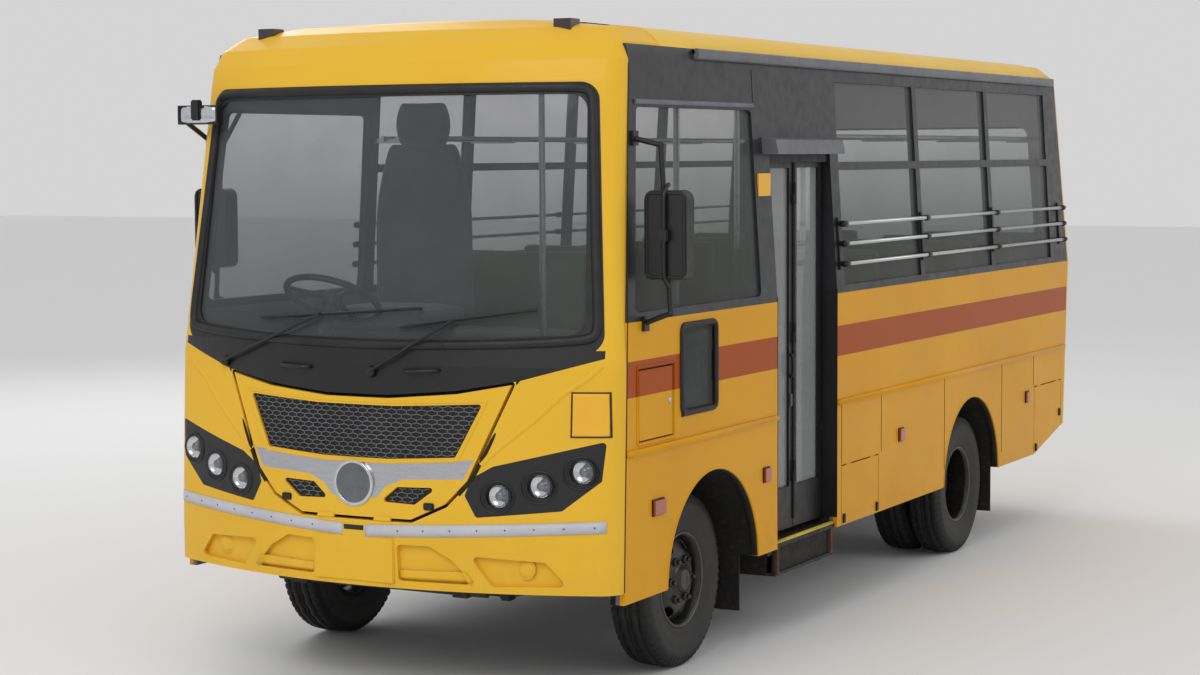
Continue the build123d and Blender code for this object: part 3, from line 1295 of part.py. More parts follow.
# Entrance steps: the well's walls, two treads and the hanging lower step
STEP_PLATE = 10
TREAD_Z = 450
SECOND_TREAD_Z = 690
SECOND_TREAD_X = 630
LOWER_STEP_Z = (298, 312)
LOWER_STEP_X = (860, 1085)
NOSING_X = (FLOOR_X, 1088)
WELL_BACK_X = (STEP_WELL_X - STEP_PLATE + 2, STEP_WELL_X)
RISER_X = (SECOND_TREAD_X, SECOND_TREAD_X + STEP_PLATE)
HANGER_Y = [(DOOR_FRONT_Y + 10, DOOR_FRONT_Y + 22), (DOOR_REAR_Y - 22, DOOR_REAR_Y - 10)]
HANGER_OUT_X = 1040
with BuildPart() as entrance_steps:
    block((SECOND_TREAD_X, FLOOR_X), DOORWAY_Y, (TREAD_Z - STEP_PLATE, TREAD_Z))
    block(NOSING_X, DOORWAY_Y, (TREAD_Z - 2 * STEP_PLATE, TREAD_Z))
    block(RISER_X, DOORWAY_Y, (TREAD_Z - STEP_PLATE, SECOND_TREAD_Z))
    block((STEP_WELL_X, RISER_X[1]), DOORWAY_Y, (SECOND_TREAD_Z - STEP_PLATE, SECOND_TREAD_Z))
    block(WELL_BACK_X, DOORWAY_Y, (SECOND_TREAD_Z - STEP_PLATE, FLOOR_LOW_Z))
    for y in ((DOOR_FRONT_Y - STEP_PLATE, DOOR_FRONT_Y), (DOOR_REAR_Y, DOOR_REAR_Y + STEP_PLATE)):
        block((SECOND_TREAD_X, FLOOR_X), y, (TREAD_Z - STEP_PLATE, FLOOR_LOW_Z))
        block((WELL_BACK_X[0], SECOND_TREAD_X), y, (SECOND_TREAD_Z - STEP_PLATE, FLOOR_LOW_Z))
    block(LOWER_STEP_X, (HANGER_Y[0][0], HANGER_Y[1][1]), LOWER_STEP_Z)
    for y in HANGER_Y:
        block((LOWER_STEP_X[0], HANGER_OUT_X), y, (LOWER_STEP_Z[0], TREAD_Z - STEP_PLATE))
finish(entrance_steps, "entrance_steps")

# Entrance door: two equal leaves; the front one turns at the front post, the rear one at the middle hinge
LEAF_X = (990, 1020)
LEAF_Z = (480, 2232)
LEAF_EDGE_GAP = 11
LEAF_MID_GAP = 6
LEAF_MID_Y = (DOOR_FRONT_Y + DOOR_REAR_Y) / 2
LEAF_FRAME = 42
LEAF_SILL_Z = 680
PIVOT_INSET = 15
PIVOT_R = 8
POST_PIVOT = ((LEAF_X[0] + LEAF_X[1]) / 2, DOOR_FRONT_Y + LEAF_EDGE_GAP + PIVOT_INSET)
MID_HINGE = (LEAF_X[1] + 10, LEAF_MID_Y)
MID_KNUCKLE_R = 9
MID_PIN_R = 5
MID_HINGES_Z = [700, 1360, 2020]
MID_KNUCKLE_LENGTH = 50
front_leaf_y = (DOOR_FRONT_Y + LEAF_EDGE_GAP, LEAF_MID_Y - LEAF_MID_GAP / 2)
rear_leaf_y = (LEAF_MID_Y + LEAF_MID_GAP / 2, DOOR_REAR_Y - LEAF_EDGE_GAP)


def leaf_window(span):
    return (span[0] + LEAF_FRAME, span[1] - LEAF_FRAME), (LEAF_SILL_Z, LEAF_Z[1] - LEAF_FRAME)


with BuildPart() as door_front_leaf:
    block(LEAF_X, front_leaf_y, LEAF_Z)
    opening = leaf_window(front_leaf_y)
    block((LEAF_X[0] - 5, LEAF_X[1] + 5), opening[0], opening[1], Mode.SUBTRACT)
    rod((*POST_PIVOT, TREAD_Z + PIN_SEAT), (*POST_PIVOT, LEAF_Z[0] + 10), PIVOT_R)
    for z in MID_HINGES_Z:
        rod((*MID_HINGE, z), (*MID_HINGE, z + MID_KNUCKLE_LENGTH), MID_KNUCKLE_R)
        rod((*MID_HINGE, z), (*MID_HINGE, z + 2 * MID_KNUCKLE_LENGTH), MID_PIN_R)
        block((LEAF_X[1] - 2, LEAF_X[1] + 12), (LEAF_MID_Y - 18, LEAF_MID_Y - 5), (z, z + MID_KNUCKLE_LENGTH))
finish(door_front_leaf, "door_front_leaf")

with BuildPart() as door_rear_leaf:
    block(LEAF_X, rear_leaf_y, LEAF_Z)
    opening = leaf_window(rear_leaf_y)
    block((LEAF_X[0] - 5, LEAF_X[1] + 5), opening[0], opening[1], Mode.SUBTRACT)
    for z in MID_HINGES_Z:
        low = z + MID_KNUCKLE_LENGTH + 1
        high = z + 2 * MID_KNUCKLE_LENGTH
        rod((*MID_HINGE, low), (*MID_HINGE, high), MID_KNUCKLE_R)
        block((LEAF_X[1] - 2, LEAF_X[1] + 12), (LEAF_MID_Y + 5, LEAF_MID_Y + 18), (low, high))
        rod((*MID_HINGE, low - 1), (*MID_HINGE, high + 1), MID_PIN_R + RUNNING_CLEARANCE, Mode.SUBTRACT)
finish(door_rear_leaf, "door_rear_leaf")

LEAF_GLASS_X = (LEAF_X[0] + 12, LEAF_X[0] + 18)
with BuildPart() as door_front_glass:
    block(LEAF_GLASS_X, *leaf_window(front_leaf_y))
finish(door_front_glass, "door_front_glass")
with BuildPart() as door_rear_glass:
    block(LEAF_GLASS_X, *leaf_window(rear_leaf_y))
finish(door_rear_glass, "door_rear_glass")

# Door frame inside the doorway: a post at each side and a lintel over the leaves
DOOR_POST_X = 955
DOOR_POST = 36
LINTEL_Z = (LEAF_Z[1] + 8, LEAF_Z[1] + 78)
post_top_z = LINTEL_Z[0] - PIN_SEAT
post_outline = [
    (DOOR_POST_X, FLOOR_Z),
    (FLOOR_X, FLOOR_Z),
    (FLOOR_X, WAIST_Z),
    (wall_half_width(post_top_z) - WALL, post_top_z),
    (DOOR_POST_X, post_top_z),
]
lintel_outline = [
    (DOOR_POST_X, LINTEL_Z[0]),
    (wall_half_width(LINTEL_Z[0]) - WALL, LINTEL_Z[0]),
    (wall_half_width(LINTEL_Z[1]) - WALL, LINTEL_Z[1]),
    (DOOR_POST_X, LINTEL_Z[1]),
]
door_posts = [
    front_prism(post_outline, y)
    for y in ((DOOR_FRONT_Y - DOOR_POST, DOOR_FRONT_Y), (DOOR_REAR_Y, DOOR_REAR_Y + DOOR_POST))
]
lintel = front_prism(lintel_outline, (DOOR_FRONT_Y - DOOR_POST, DOOR_REAR_Y + DOOR_POST))
with BuildPart() as door_frame:
    for post in door_posts:
        add(post)
    add(lintel)
finish(door_frame, "door_frame")

# Dashboard with the steering column
DRIVER_X = -545
DASH_Z = (1130, 1380)
COLUMN_TILT = 30
WHEEL_CENTRE = (DRIVER_X, FRONT_AXLE_Y - 510, 1620)
DASH_REAR_Y = -HALF_LENGTH + 570
DASH_FRONT_Y = -HALF_LENGTH + 175
DASH_CORNER_Y = -HALF_LENGTH + 310
COLUMN_DROP = 330
COLUMN_R = 30
HUB_DEPTH = 40
axis_up = Vector(0, math.sin(math.radians(COLUMN_TILT)), math.cos(math.radians(COLUMN_TILT)))
hub_base = Vector(*WHEEL_CENTRE) - axis_up * HUB_DEPTH
column_top = hub_base - axis_up * PIN_SEAT
column_foot = column_top - axis_up * COLUMN_DROP
with BuildPart() as dashboard:
    with BuildSketch(Plane.XY.offset(DASH_Z[0])):
        Polygon(
            (-FLOOR_X, DASH_REAR_Y),
            (FLOOR_X, DASH_REAR_Y),
            (FLOOR_X, SEAM_WAIST_Y + 10),
            (930, DASH_CORNER_Y),
            (500, DASH_FRONT_Y),
            (-500, DASH_FRONT_Y),
            (-930, DASH_CORNER_Y),
            (-FLOOR_X, SEAM_WAIST_Y + 10),
            align=None,
        )
    extrude(amount=DASH_Z[1] - DASH_Z[0])
    block((-HUMP_X, HUMP_X), HUMP_Y, (FLOOR_Z, HUMP_TOP_Z), Mode.SUBTRACT)
    rod(column_foot, column_top, COLUMN_R)
finish(dashboard, "dashboard")

STEERING_RING_R = 215
STEERING_RIM_R = 15
with BuildPart() as steering_wheel:
    with Locations(Plane(WHEEL_CENTRE, z_dir=axis_up)):
        Cylinder(STEERING_RING_R + STEERING_RIM_R, 2 * STEERING_RIM_R)
        Cylinder(STEERING_RING_R - STEERING_RIM_R, 2 * STEERING_RIM_R, mode=Mode.SUBTRACT)
        with PolarLocations(STEERING_RING_R / 2, 3, start_angle=90):
            Box(STEERING_RING_R, 34, 12)
        Cylinder(48, HUB_DEPTH * 2)
finish(steering_wheel, "steering_wheel")

# Driver's seat: pedestal, cushion, tapered back and headrest
SEAT_HALF = 260
DRIVER_BACK_Y = FRONT_AXLE_Y + 200
DRIVER_PAN_Z = 1450
with BuildPart() as driver_seat:
    block((DRIVER_X - 200, DRIVER_X + 200), (DRIVER_BACK_Y - 420, DRIVER_BACK_Y), (FLOOR_Z, DRIVER_PAN_Z))
    block(
        (DRIVER_X - SEAT_HALF, DRIVER_X + SEAT_HALF),
        (DRIVER_BACK_Y - 460, DRIVER_BACK_Y),
        (DRIVER_PAN_Z, DRIVER_PAN_Z + 110),
    )
    with BuildSketch(Plane.XZ.offset(-DRIVER_BACK_Y - 110)):
        Polygon(
            (DRIVER_X - SEAT_HALF, DRIVER_PAN_Z),
            (DRIVER_X + SEAT_HALF, DRIVER_PAN_Z),
            (DRIVER_X + SEAT_HALF, 1950),
            (DRIVER_X + 175, 2310),
            (DRIVER_X - 175, 2310),
            (DRIVER_X - SEAT_HALF, 1950),
            align=None,
        )
    extrude(amount=110)
    block((DRIVER_X - 150, DRIVER_X + 150), (DRIVER_BACK_Y + 20, DRIVER_BACK_Y + 100), (2345, 2525))
    for x in (DRIVER_X - 60, DRIVER_X + 60):
        rod((x, DRIVER_BACK_Y + 60, 2300), (x, DRIVER_BACK_Y + 60, 2360), 8)
finish(driver_seat, "driver_seat")

# Passenger benches: cushions and backs, and the frames that carry them
BENCH_X = (225, 1045)
BENCH_PITCH = 720
BENCH_DEPTH = 430
BENCH_BACK_THICK = 90
BENCH_PAN_Z = (1245, 1265)
BENCH_CUSHION_Z = (1265, 1375)
BENCH_TOP_Z = 1765
LEFT_BENCH_START = DOOR_REAR_Y + 209
BENCH_ROOM = FLOOR_REAR_Y - LEFT_BENCH_START - BENCH_DEPTH - BENCH_BACK_THICK
LEFT_BENCHES = [LEFT_BENCH_START + BENCH_PITCH * i for i in range(1 + int(BENCH_ROOM // BENCH_PITCH))]
RIGHT_BENCHES = [LEFT_BENCH_START - BENCH_PITCH] + LEFT_BENCHES
LEG_X = [300, 960]
LEG_HALF = 20
benches = [(1, y) for y in LEFT_BENCHES] + [(-1, y) for y in RIGHT_BENCHES]
with BuildPart() as passenger_seats:
    for side, y in benches:
        across = sorted((side * BENCH_X[0], side * BENCH_X[1]))
        block(across, (y, y + BENCH_DEPTH), BENCH_CUSHION_Z)
        block(
            across,
            (y + BENCH_DEPTH + 5, y + BENCH_DEPTH + 5 + BENCH_BACK_THICK),
            (BENCH_CUSHION_Z[0], BENCH_TOP_Z),
        )
finish(passenger_seats, "passenger_seats")

with BuildPart() as seat_frames:
    for side, y in benches:
        across = sorted((side * BENCH_X[0], side * BENCH_X[1]))
        block(across, (y + 10, y + BENCH_DEPTH + BENCH_BACK_THICK), BENCH_PAN_Z)
        for x in LEG_X:
            leg = (side * x - LEG_HALF, side * x + LEG_HALF)
            block(leg, (y + 60, y + 110), (FLOOR_Z, BENCH_PAN_Z[0]))
            block(leg, (y + 360, y + 410), (FLOOR_Z, BENCH_PAN_Z[0]))
finish(seat_frames, "seat_frames")

# Luggage racks of round tube along both walls, and stanchions by the aisle
RACK_Z = 2340
RACK_TUBES_X = [770, 860, 950]
RACK_TUBE_R = 13
RACK_BRACKET = 22
STANCHION_X = 205
STANCHION_R = 16
STANCHIONS = [
    (1, DOOR_REAR_Y + 49),
    (-1, DOOR_FRONT_Y + 121),
    (1, LEFT_BENCH_START + 1460),
    (-1, LEFT_BENCH_START + 1460),
]
rack_wall_x = wall_half_width(RACK_Z) - WALL
headliner_r = CROWN_RADIUS - ROOF_WALL
stanchion_top_z = CROWN_CENTRE_Z + math.sqrt(headliner_r**2 - (STANCHION_X + STANCHION_R) ** 2)
with BuildPart() as luggage_racks:
    for side, brackets in ((1, LEFT_BRACKETS), (-1, RIGHT_BRACKETS)):
        for x in RACK_TUBES_X:
            rod((side * x, brackets[0] - 30, RACK_Z), (side * x, brackets[-1] + 30, RACK_Z), RACK_TUBE_R)
        for y in brackets:
            reach = sorted((side * (RACK_TUBES_X[0] - 20), side * rack_wall_x))
            block(reach, (y - RACK_BRACKET / 2, y + RACK_BRACKET / 2), (RACK_Z - RACK_BRACKET, RACK_Z))
    for side, y in STANCHIONS:
        rod((side * STANCHION_X, y, FLOOR_Z), (side * STANCHION_X, y, stanchion_top_z), STANCHION_R)
finish(luggage_racks, "luggage_racks")

# Mirrors: a head on a bent tube at each front post, and a small look-down mirror at the right pillar
MIRROR_ARM_R = 11
MIRROR_HEAD_X = (1120, 1312)
MIRROR_HEAD_Z = (1748, 2111)
MIRROR_DEPTH = 70
MIRROR_BEND = (1180, 2294)
MIRROR_ELBOW = (1222, 1612)
MIRROR_FOOT_HALF = 22
LEFT_MIRROR = (SEAM_CANT_Y + 2, 2323, 1566)
RIGHT_MIRROR = (SEAM_CANT_Y + 207, 2500, 1566)


def main_mirror(y, top_z, low_z):
    """A mirror head on its arm. Values: the arm's Y and the heights of its two feet."""
    with BuildPart() as head:
        block(MIRROR_HEAD_X, (y - MIRROR_DEPTH / 2, y + MIRROR_DEPTH / 2), MIRROR_HEAD_Z)
        fillet(head.edges().filter_by(Axis.Y), 40)
        top_x = wall_half_width(top_z)
        low_x = wall_half_width(low_z)
        rod((top_x, y, top_z), (MIRROR_BEND[0], y, MIRROR_BEND[1]), MIRROR_ARM_R)
        rod((MIRROR_BEND[0], y, MIRROR_BEND[1]), (MIRROR_ELBOW[0], y, MIRROR_ELBOW[1]), MIRROR_ARM_R)
        rod((MIRROR_ELBOW[0], y, MIRROR_ELBOW[1]), (low_x, y, low_z), MIRROR_ARM_R)
        with Locations((MIRROR_BEND[0], y, MIRROR_BEND[1]), (MIRROR_ELBOW[0], y, MIRROR_ELBOW[1])):
            Sphere(MIRROR_ARM_R + 4)
        for x, z in ((top_x, top_z), (low_x, low_z)):
            block((x - 30, x + 14), (y - MIRROR_FOOT_HALF, y + MIRROR_FOOT_HALF), (z - 30, z + 30))
    return head.part


left_mirror = main_mirror(*LEFT_MIRROR)
right_mirror = opposite(main_mirror(*RIGHT_MIRROR))
MIRROR_ZONE_Y = (LEFT_MIRROR[0] - 50, 0)
body_solid = leaning_wall(MIRROR_ZONE_Y, 0, 10 * WALL)
lower_solid = side_prism(rectangle(MIRROR_ZONE_Y, (SKIRT_Z, WAIST_Z)), (0, HALF_WIDTH))
LOOK_DOWN_X = (-1085, -865)
LOOK_DOWN_Y = (SEAM_CANT_Y - 228, SEAM_CANT_Y - 193)
LOOK_DOWN_Z = (2398, 2482)
LOOK_DOWN_ARM_X = LOOK_DOWN_X[0] + MIRROR_ARM_R
LOOK_DOWN_FOOT_Y = (SEAM_CANT_Y - 31, SEAM_CANT_Y + 9)
LOOK_DOWN_FOOT_Z = (2300, 2350)
look_down_arm = [
    (LOOK_DOWN_ARM_X, LOOK_DOWN_Y[1] - 10, LOOK_DOWN_Z[0] + 2 * MIRROR_ARM_R),
    (LOOK_DOWN_ARM_X, sum(LOOK_DOWN_FOOT_Y) / 2, sum(LOOK_DOWN_FOOT_Z) / 2),
]
with BuildPart() as mirrors:
    add(left_mirror)
    add(right_mirror)
    block((LOOK_DOWN_X[0], -CANT_HALF), LOOK_DOWN_FOOT_Y, LOOK_DOWN_FOOT_Z)
    for solid in (body_solid, lower_solid):
        add(solid, mode=Mode.SUBTRACT)
        add(opposite(solid), mode=Mode.SUBTRACT)
    block(LOOK_DOWN_X, LOOK_DOWN_Y, LOOK_DOWN_Z)
    rod(*look_down_arm, MIRROR_ARM_R)
finish(mirrors, "mirrors")
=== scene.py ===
import math

import bmesh
import bpy
import numpy as np
from mathutils import Matrix, Vector
from mathutils.bvhtree import BVHTree


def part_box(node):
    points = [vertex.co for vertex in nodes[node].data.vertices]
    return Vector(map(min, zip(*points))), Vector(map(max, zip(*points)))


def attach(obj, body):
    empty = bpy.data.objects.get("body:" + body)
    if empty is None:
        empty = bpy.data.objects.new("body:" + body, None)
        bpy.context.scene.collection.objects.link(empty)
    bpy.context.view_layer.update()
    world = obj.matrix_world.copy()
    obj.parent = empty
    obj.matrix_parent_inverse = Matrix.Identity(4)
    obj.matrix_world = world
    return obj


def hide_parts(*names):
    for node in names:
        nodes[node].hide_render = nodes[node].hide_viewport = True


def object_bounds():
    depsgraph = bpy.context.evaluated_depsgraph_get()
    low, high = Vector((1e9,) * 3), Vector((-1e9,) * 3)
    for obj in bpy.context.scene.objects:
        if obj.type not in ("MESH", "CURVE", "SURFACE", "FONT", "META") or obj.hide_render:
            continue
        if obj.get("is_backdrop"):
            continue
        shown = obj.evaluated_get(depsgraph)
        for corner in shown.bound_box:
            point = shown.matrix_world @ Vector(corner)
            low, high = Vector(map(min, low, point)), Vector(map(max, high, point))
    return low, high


# The looks of a midi school bus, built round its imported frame. Metres; +X is the bus's left (door) side,
# +Y the rear, +Z up.
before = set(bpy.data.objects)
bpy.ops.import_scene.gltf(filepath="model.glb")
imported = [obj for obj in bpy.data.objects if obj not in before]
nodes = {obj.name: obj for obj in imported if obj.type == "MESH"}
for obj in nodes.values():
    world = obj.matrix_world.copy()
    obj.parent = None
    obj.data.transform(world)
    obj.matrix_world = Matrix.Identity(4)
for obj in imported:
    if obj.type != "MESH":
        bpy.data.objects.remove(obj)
cad_low, cad_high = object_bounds()

# Places that several pieces share, read from the frame where it has them
SIDES = ((1, "left"), (-1, "right"))
FORWARD = (0, -1, 0)
RUB_RAIL_OUT = 0.012
HALF_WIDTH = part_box("left_rear_panel")[1].x - RUB_RAIL_OUT
WAIST_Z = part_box("left_rear_panel")[1].z
CANT_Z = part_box("left_rear_window_frame")[1].z
TUMBLEHOME = 0.067
STRIPE_Z = (1.27, 1.418)
CEILING_LOW = 2.3


def wall_x(z):
    """Half width of the body at a height: upright below the waist, leaning in above it."""
    return HALF_WIDTH - TUMBLEHOME * max(0.0, z - WAIST_Z) / (CANT_Z - WAIST_Z)


# Node materials
def rgb(red, green, blue):
    """A linear colour from the 0 to 255 values of a picture."""
    values = (red, green, blue)
    return tuple(((v / 255 + 0.055) / 1.055) ** 2.4 if v > 10 else v / 3294 for v in values) + (1.0,)


def darker(colour, share):
    """A colour at a share of its strength."""
    return tuple(share * v for v in colour[:3]) + (1.0,)


class Look:
    """A node material in the making, with the helpers that feed its shader."""

    def __init__(self, name):
        self.material = bpy.data.materials.new(name)
        self.material.use_nodes = True
        self.tree = self.material.node_tree
        self.shader = self.tree.nodes["Principled BSDF"]
        self.place = self.node("TexCoord", {}).outputs["Object"]

    def fill(self, node, values):
        """Sets or links a node's inputs."""
        for key, value in values.items():
            if isinstance(value, bpy.types.NodeSocket):
                self.tree.links.new(value, node.inputs[key])
            else:
                node.inputs[key].default_value = value

    def node(self, kind, values, **settings):
        """Adds a shader node, with its settings and the values or links of its inputs."""
        made = self.tree.nodes.new("ShaderNode" + kind)
        for key, value in settings.items():
            setattr(made, key, value)
        self.fill(made, values)
        return made

    def axes(self, vector):
        return self.node("SeparateXYZ", {0: vector}).outputs

    def noise(self, scale, detail, roughness=0.55, place=None):
        values = {"Vector": place or self.place, "Scale": scale, "Detail": detail, "Roughness": roughness}
        return self.node("TexNoise", values).outputs["Fac"]

    def wave(self, scale, direction, **values):
        values = {"Vector": self.place, "Scale": scale, **values}
        return self.node("TexWave", values, bands_direction=direction).outputs["Fac"]

    def spread(self, value, low, high, to_low=0.0, to_high=1.0):
        """Maps a value from one range to another, held at its ends."""
        values = {"Value": value, "From Min": low, "From Max": high, "To Min": to_low, "To Max": to_high}
        return self.node("MapRange", values).outputs["Result"]

    def calc(self, operation, first, second=0.0):
        return self.node("Math", {0: first, 1: second}, operation=operation).outputs[0]

    def blend(self, share, first, second):
        """A colour between two others."""
        return self.node("Mix", {0: share, 6: first, 7: second}, data_type="RGBA").outputs[2]

    def dress(self, values, height, strength, distance):
        """Gives the shader its values and a bump, and returns the material."""
        made = self.node("Bump", {"Height": height, "Strength": strength, "Distance": distance})
        self.fill(self.shader, {**values, "Normal": made.outputs["Normal"]})
        return self.material


# The wheels' places
TYRE_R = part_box("front_tyre_left")[1].z / 2
AXLE_Z = TYRE_R
FRONT_AXLE_Y = (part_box("front_tyre_left")[0].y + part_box("front_tyre_left")[1].y) / 2
REAR_AXLE_Y = (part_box("rear_tyres_left")[0].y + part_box("rear_tyres_left")[1].y) / 2

# Kinds of material
DUST = rgb(132, 104, 62)
STRIPE = rgb(164, 73, 0)
STRIPE_EDGE = 0.001
ROOF_LINING = rgb(226, 226, 224)
SIDE_LINING = rgb(112, 112, 114)
SIDE_LINING_X = (HALF_WIDTH - 0.022, HALF_WIDTH - 0.02)
PAINT_ROUGHNESS = (0.28, 0.36)
DUST_Z = (0.43, 0.95)


def paint(name, colour, shade, dust=0.14, stripe=False):
    """Coach paint: mottling, orange peel, dust low down, a pale lining inside; on the sides, the stripe."""
    look = Look(name)
    tone = look.blend(look.spread(look.noise(1.6, 5), 0.3, 0.7), colour, shade)
    x, y, z = look.axes(look.place)
    if stripe:
        above = look.spread(z, STRIPE_Z[0], STRIPE_Z[0] + STRIPE_EDGE)
        below = look.spread(z, STRIPE_Z[1], STRIPE_Z[1] + STRIPE_EDGE, 1.0, 0.0)
        tone = look.blend(look.calc("MULTIPLY", above, below), tone, STRIPE)
        lining = look.spread(look.calc("ABSOLUTE", x), *SIDE_LINING_X, 1.0, 0.0)
    else:
        _, facing_y, facing_z = look.axes(look.node("TexCoord", {}).outputs["Normal"])
        ceiling = look.spread(facing_z, -0.35, -0.3, 1.0, 0.0)
        above = look.spread(z, CEILING_LOW, CEILING_LOW + 0.01)
        inward = look.spread(look.calc("MULTIPLY", facing_y, y), -0.9, -0.8, 1.0, 0.0)
        lining = look.calc("MAXIMUM", look.calc("MULTIPLY", ceiling, above), inward)
    tone = look.blend(lining, tone, SIDE_LINING if stripe else ROOF_LINING)
    low = look.spread(z, *DUST_Z, 1.0, 0.0)
    patches = look.spread(look.noise(7.0, 8, 0.7), 0.38, 0.75)
    film = look.calc("MULTIPLY", look.calc("MULTIPLY", low, patches), dust)
    smears = look.spread(look.noise(3.0, 2), 0.3, 0.75, *PAINT_ROUGHNESS)
    values = {
        "Base Color": look.blend(film, tone, DUST),
        "Roughness": look.calc("ADD", smears, look.calc("MULTIPLY", film, 1.2)),
        "Specular IOR Level": 0.12,
        "Coat Weight": 0.05,
        "Coat Roughness": 0.12,
    }
    return look.dress(values, look.noise(150.0, 2), 0.02, 0.0006)


def plastic(name, colour, shade, roughness, grain=700.0, grain_depth=0.25, dust=0.0):
    """Moulded or coated pieces: fine grain, uneven sheen and a little settled dust."""
    look = Look(name)
    tone = look.blend(look.spread(look.noise(5.0, 6), 0.3, 0.7), rgb(*colour), rgb(*shade))
    if dust:
        tone = look.blend(look.spread(look.noise(38.0, 8, 0.75), 0.5, 0.72, 0.0, dust), tone, DUST)
    sheen = look.spread(look.noise(16.0, 5), 0.3, 0.7, roughness - 0.08, roughness + 0.1)
    return look.dress({"Base Color": tone, "Roughness": sheen}, look.noise(grain, 3), grain_depth, 0.0006)


def metal(name, colour, roughness, scale, depth, brushed=(1.0, 1.0, 1.0)):
    """Bare or plated metal; the noise may be drawn out along an axis like brushing."""
    look = Look(name)
    drawn = look.node("Mapping", {"Vector": look.place, "Scale": brushed}).outputs[0]
    lines = look.noise(scale, 6, 0.65, drawn)
    values = {
        "Base Color": look.blend(look.spread(lines, 0.3, 0.7), rgb(*colour), darker(rgb(*colour), 0.82)),
        "Roughness": look.spread(lines, 0.25, 0.75, roughness - 0.06, roughness + 0.1),
        "Metallic": 1.0,
    }
    return look.dress(values, lines, depth, 0.0004)


def clear_glass(name, low_tint, lit_high_tint, tint_z, dust_and_reflection, gloss):
    """Window glass: a tint that lightens upwards, a painted lighter top, under a gloss that grows at a slant,
    with a grey film that is partly dust and partly painted reflection.
    """
    look = Look(name)
    # The tint lightens upwards: a painted lighter top on the glass
    tint = look.blend(look.spread(look.axes(look.place)["Z"], *tint_z), low_tint, lit_high_tint)
    see_through = look.node("BsdfTransparent", {"Color": tint})
    look.fill(look.shader, {"Base Color": gloss, "Roughness": 0.04})
    # The grey film is partly dust and partly painted reflection that lightens the glass
    film = look.spread(look.noise(3.0, 8, 0.7), 0.35, 0.75, dust_and_reflection, dust_and_reflection + 0.06)
    slant = look.node("LayerWeight", {"Blend": 0.5}).outputs["Facing"]
    gleam = look.spread(look.calc("POWER", slant, 5.0), 0.0, 1.0, 0.04, 1.0)
    share = look.calc("MINIMUM", look.calc("ADD", film, gleam), 1.0)
    mixed = look.node("MixShader", {0: share, 1: see_through.outputs[0], 2: look.shader.outputs[0]})
    look.fill(look.tree.nodes["Material Output"], {"Surface": mixed.outputs[0]})
    return look.material


def lamp_lens(name, colour, alpha):
    """Moulded clear lamp plastic with fine flutes."""
    look = Look(name)
    flutes = look.wave(160.0, "DIAGONAL")
    tone = look.blend(flutes, colour, darker(colour, 0.7))
    values = {"Base Color": tone, "Roughness": 0.12, "Coat Weight": 0.6, "Alpha": alpha}
    return look.dress(values, flutes, 0.4, 0.001)


def cloth(name, colour, shade):
    """Woven seat cloth: crossed threads, soft sheen and faint wear."""
    look = Look(name)
    crossed = look.calc("MULTIPLY", *(look.wave(900.0, way, Distortion=0.6, Detail=1.0) for way in "XZ"))
    wear = look.spread(look.noise(6.0, 5), 0.3, 0.7)
    tone = look.blend(look.calc("ADD", look.calc("MULTIPLY", crossed, 0.4), wear), colour, shade)
    return look.dress({"Base Color": tone, "Roughness": 0.85, "Sheen Weight": 0.3}, crossed, 0.5, 0.0008)


def tyre_rubber(name):
    """Used tyre: dark tread, greyer dusty side walls with scuffs."""
    look = Look(name)
    scuffs = look.spread(look.noise(14.0, 9, 0.72), 0.35, 0.75)
    _, y, z = look.axes(look.place)
    squares = []
    for axle_y in (FRONT_AXLE_Y, REAR_AXLE_Y):
        ways = (look.calc("SUBTRACT", y, axle_y), look.calc("SUBTRACT", z, TYRE_R))
        squares.append(look.calc("ADD", *(look.calc("MULTIPLY", way, way) for way in ways)))
    reach = look.calc("SQRT", look.calc("MINIMUM", *squares))
    tread = look.spread(reach, TYRE_R - 0.05, TYRE_R - 0.03)
    wall = look.blend(scuffs, rgb(30, 30, 31), rgb(64, 62, 60))
    worn = look.blend(scuffs, rgb(13, 13, 14), rgb(27, 26, 25))
    mud = look.spread(look.noise(4.0, 6, 0.7), 0.52, 0.8, 0.0, 0.2)
    values = {
        "Base Color": look.blend(mud, look.blend(tread, wall, worn), rgb(84, 78, 70)),
        "Roughness": look.spread(scuffs, 0.0, 1.0, 0.62, 0.9),
    }
    return look.dress(values, look.noise(320.0, 4), 0.35, 0.001)


TAIL_Y = 2.9
CLEAR_BAND_TOP = 0.95
AMBER_BAND_FOOT = 1.07
ROOF_LAMPS_Z = 2.6
AMBER = rgb(178, 74, 14)


def marker_lens(name):
    """Side, roof and tail lamps: amber sides, smoked roof; red, amber and clear bands at the tail."""
    look = Look(name)
    _, y, z = look.axes(look.place)
    clear_band = look.spread(z, CLEAR_BAND_TOP, CLEAR_BAND_TOP + 0.002, 1.0, 0.0)
    amber_band = look.spread(z, AMBER_BAND_FOOT, AMBER_BAND_FOOT + 0.002)
    low_bands = look.blend(clear_band, rgb(150, 14, 10), rgb(205, 205, 205))
    tail = look.spread(y, TAIL_Y, TAIL_Y + 0.01)
    tone = look.blend(tail, AMBER, look.blend(amber_band, low_bands, AMBER))
    tone = look.blend(look.spread(z, ROOF_LAMPS_Z, ROOF_LAMPS_Z + 0.01), tone, rgb(34, 32, 30))
    flutes = look.wave(60.0, "DIAGONAL")
    dark = look.blend(0.55, tone, rgb(70, 14, 6))
    tone = look.blend(look.calc("MULTIPLY", flutes, 0.6), tone, dark)
    return look.dress({"Base Color": tone, "Roughness": 0.2, "Coat Weight": 0.7}, flutes, 0.35, 0.001)


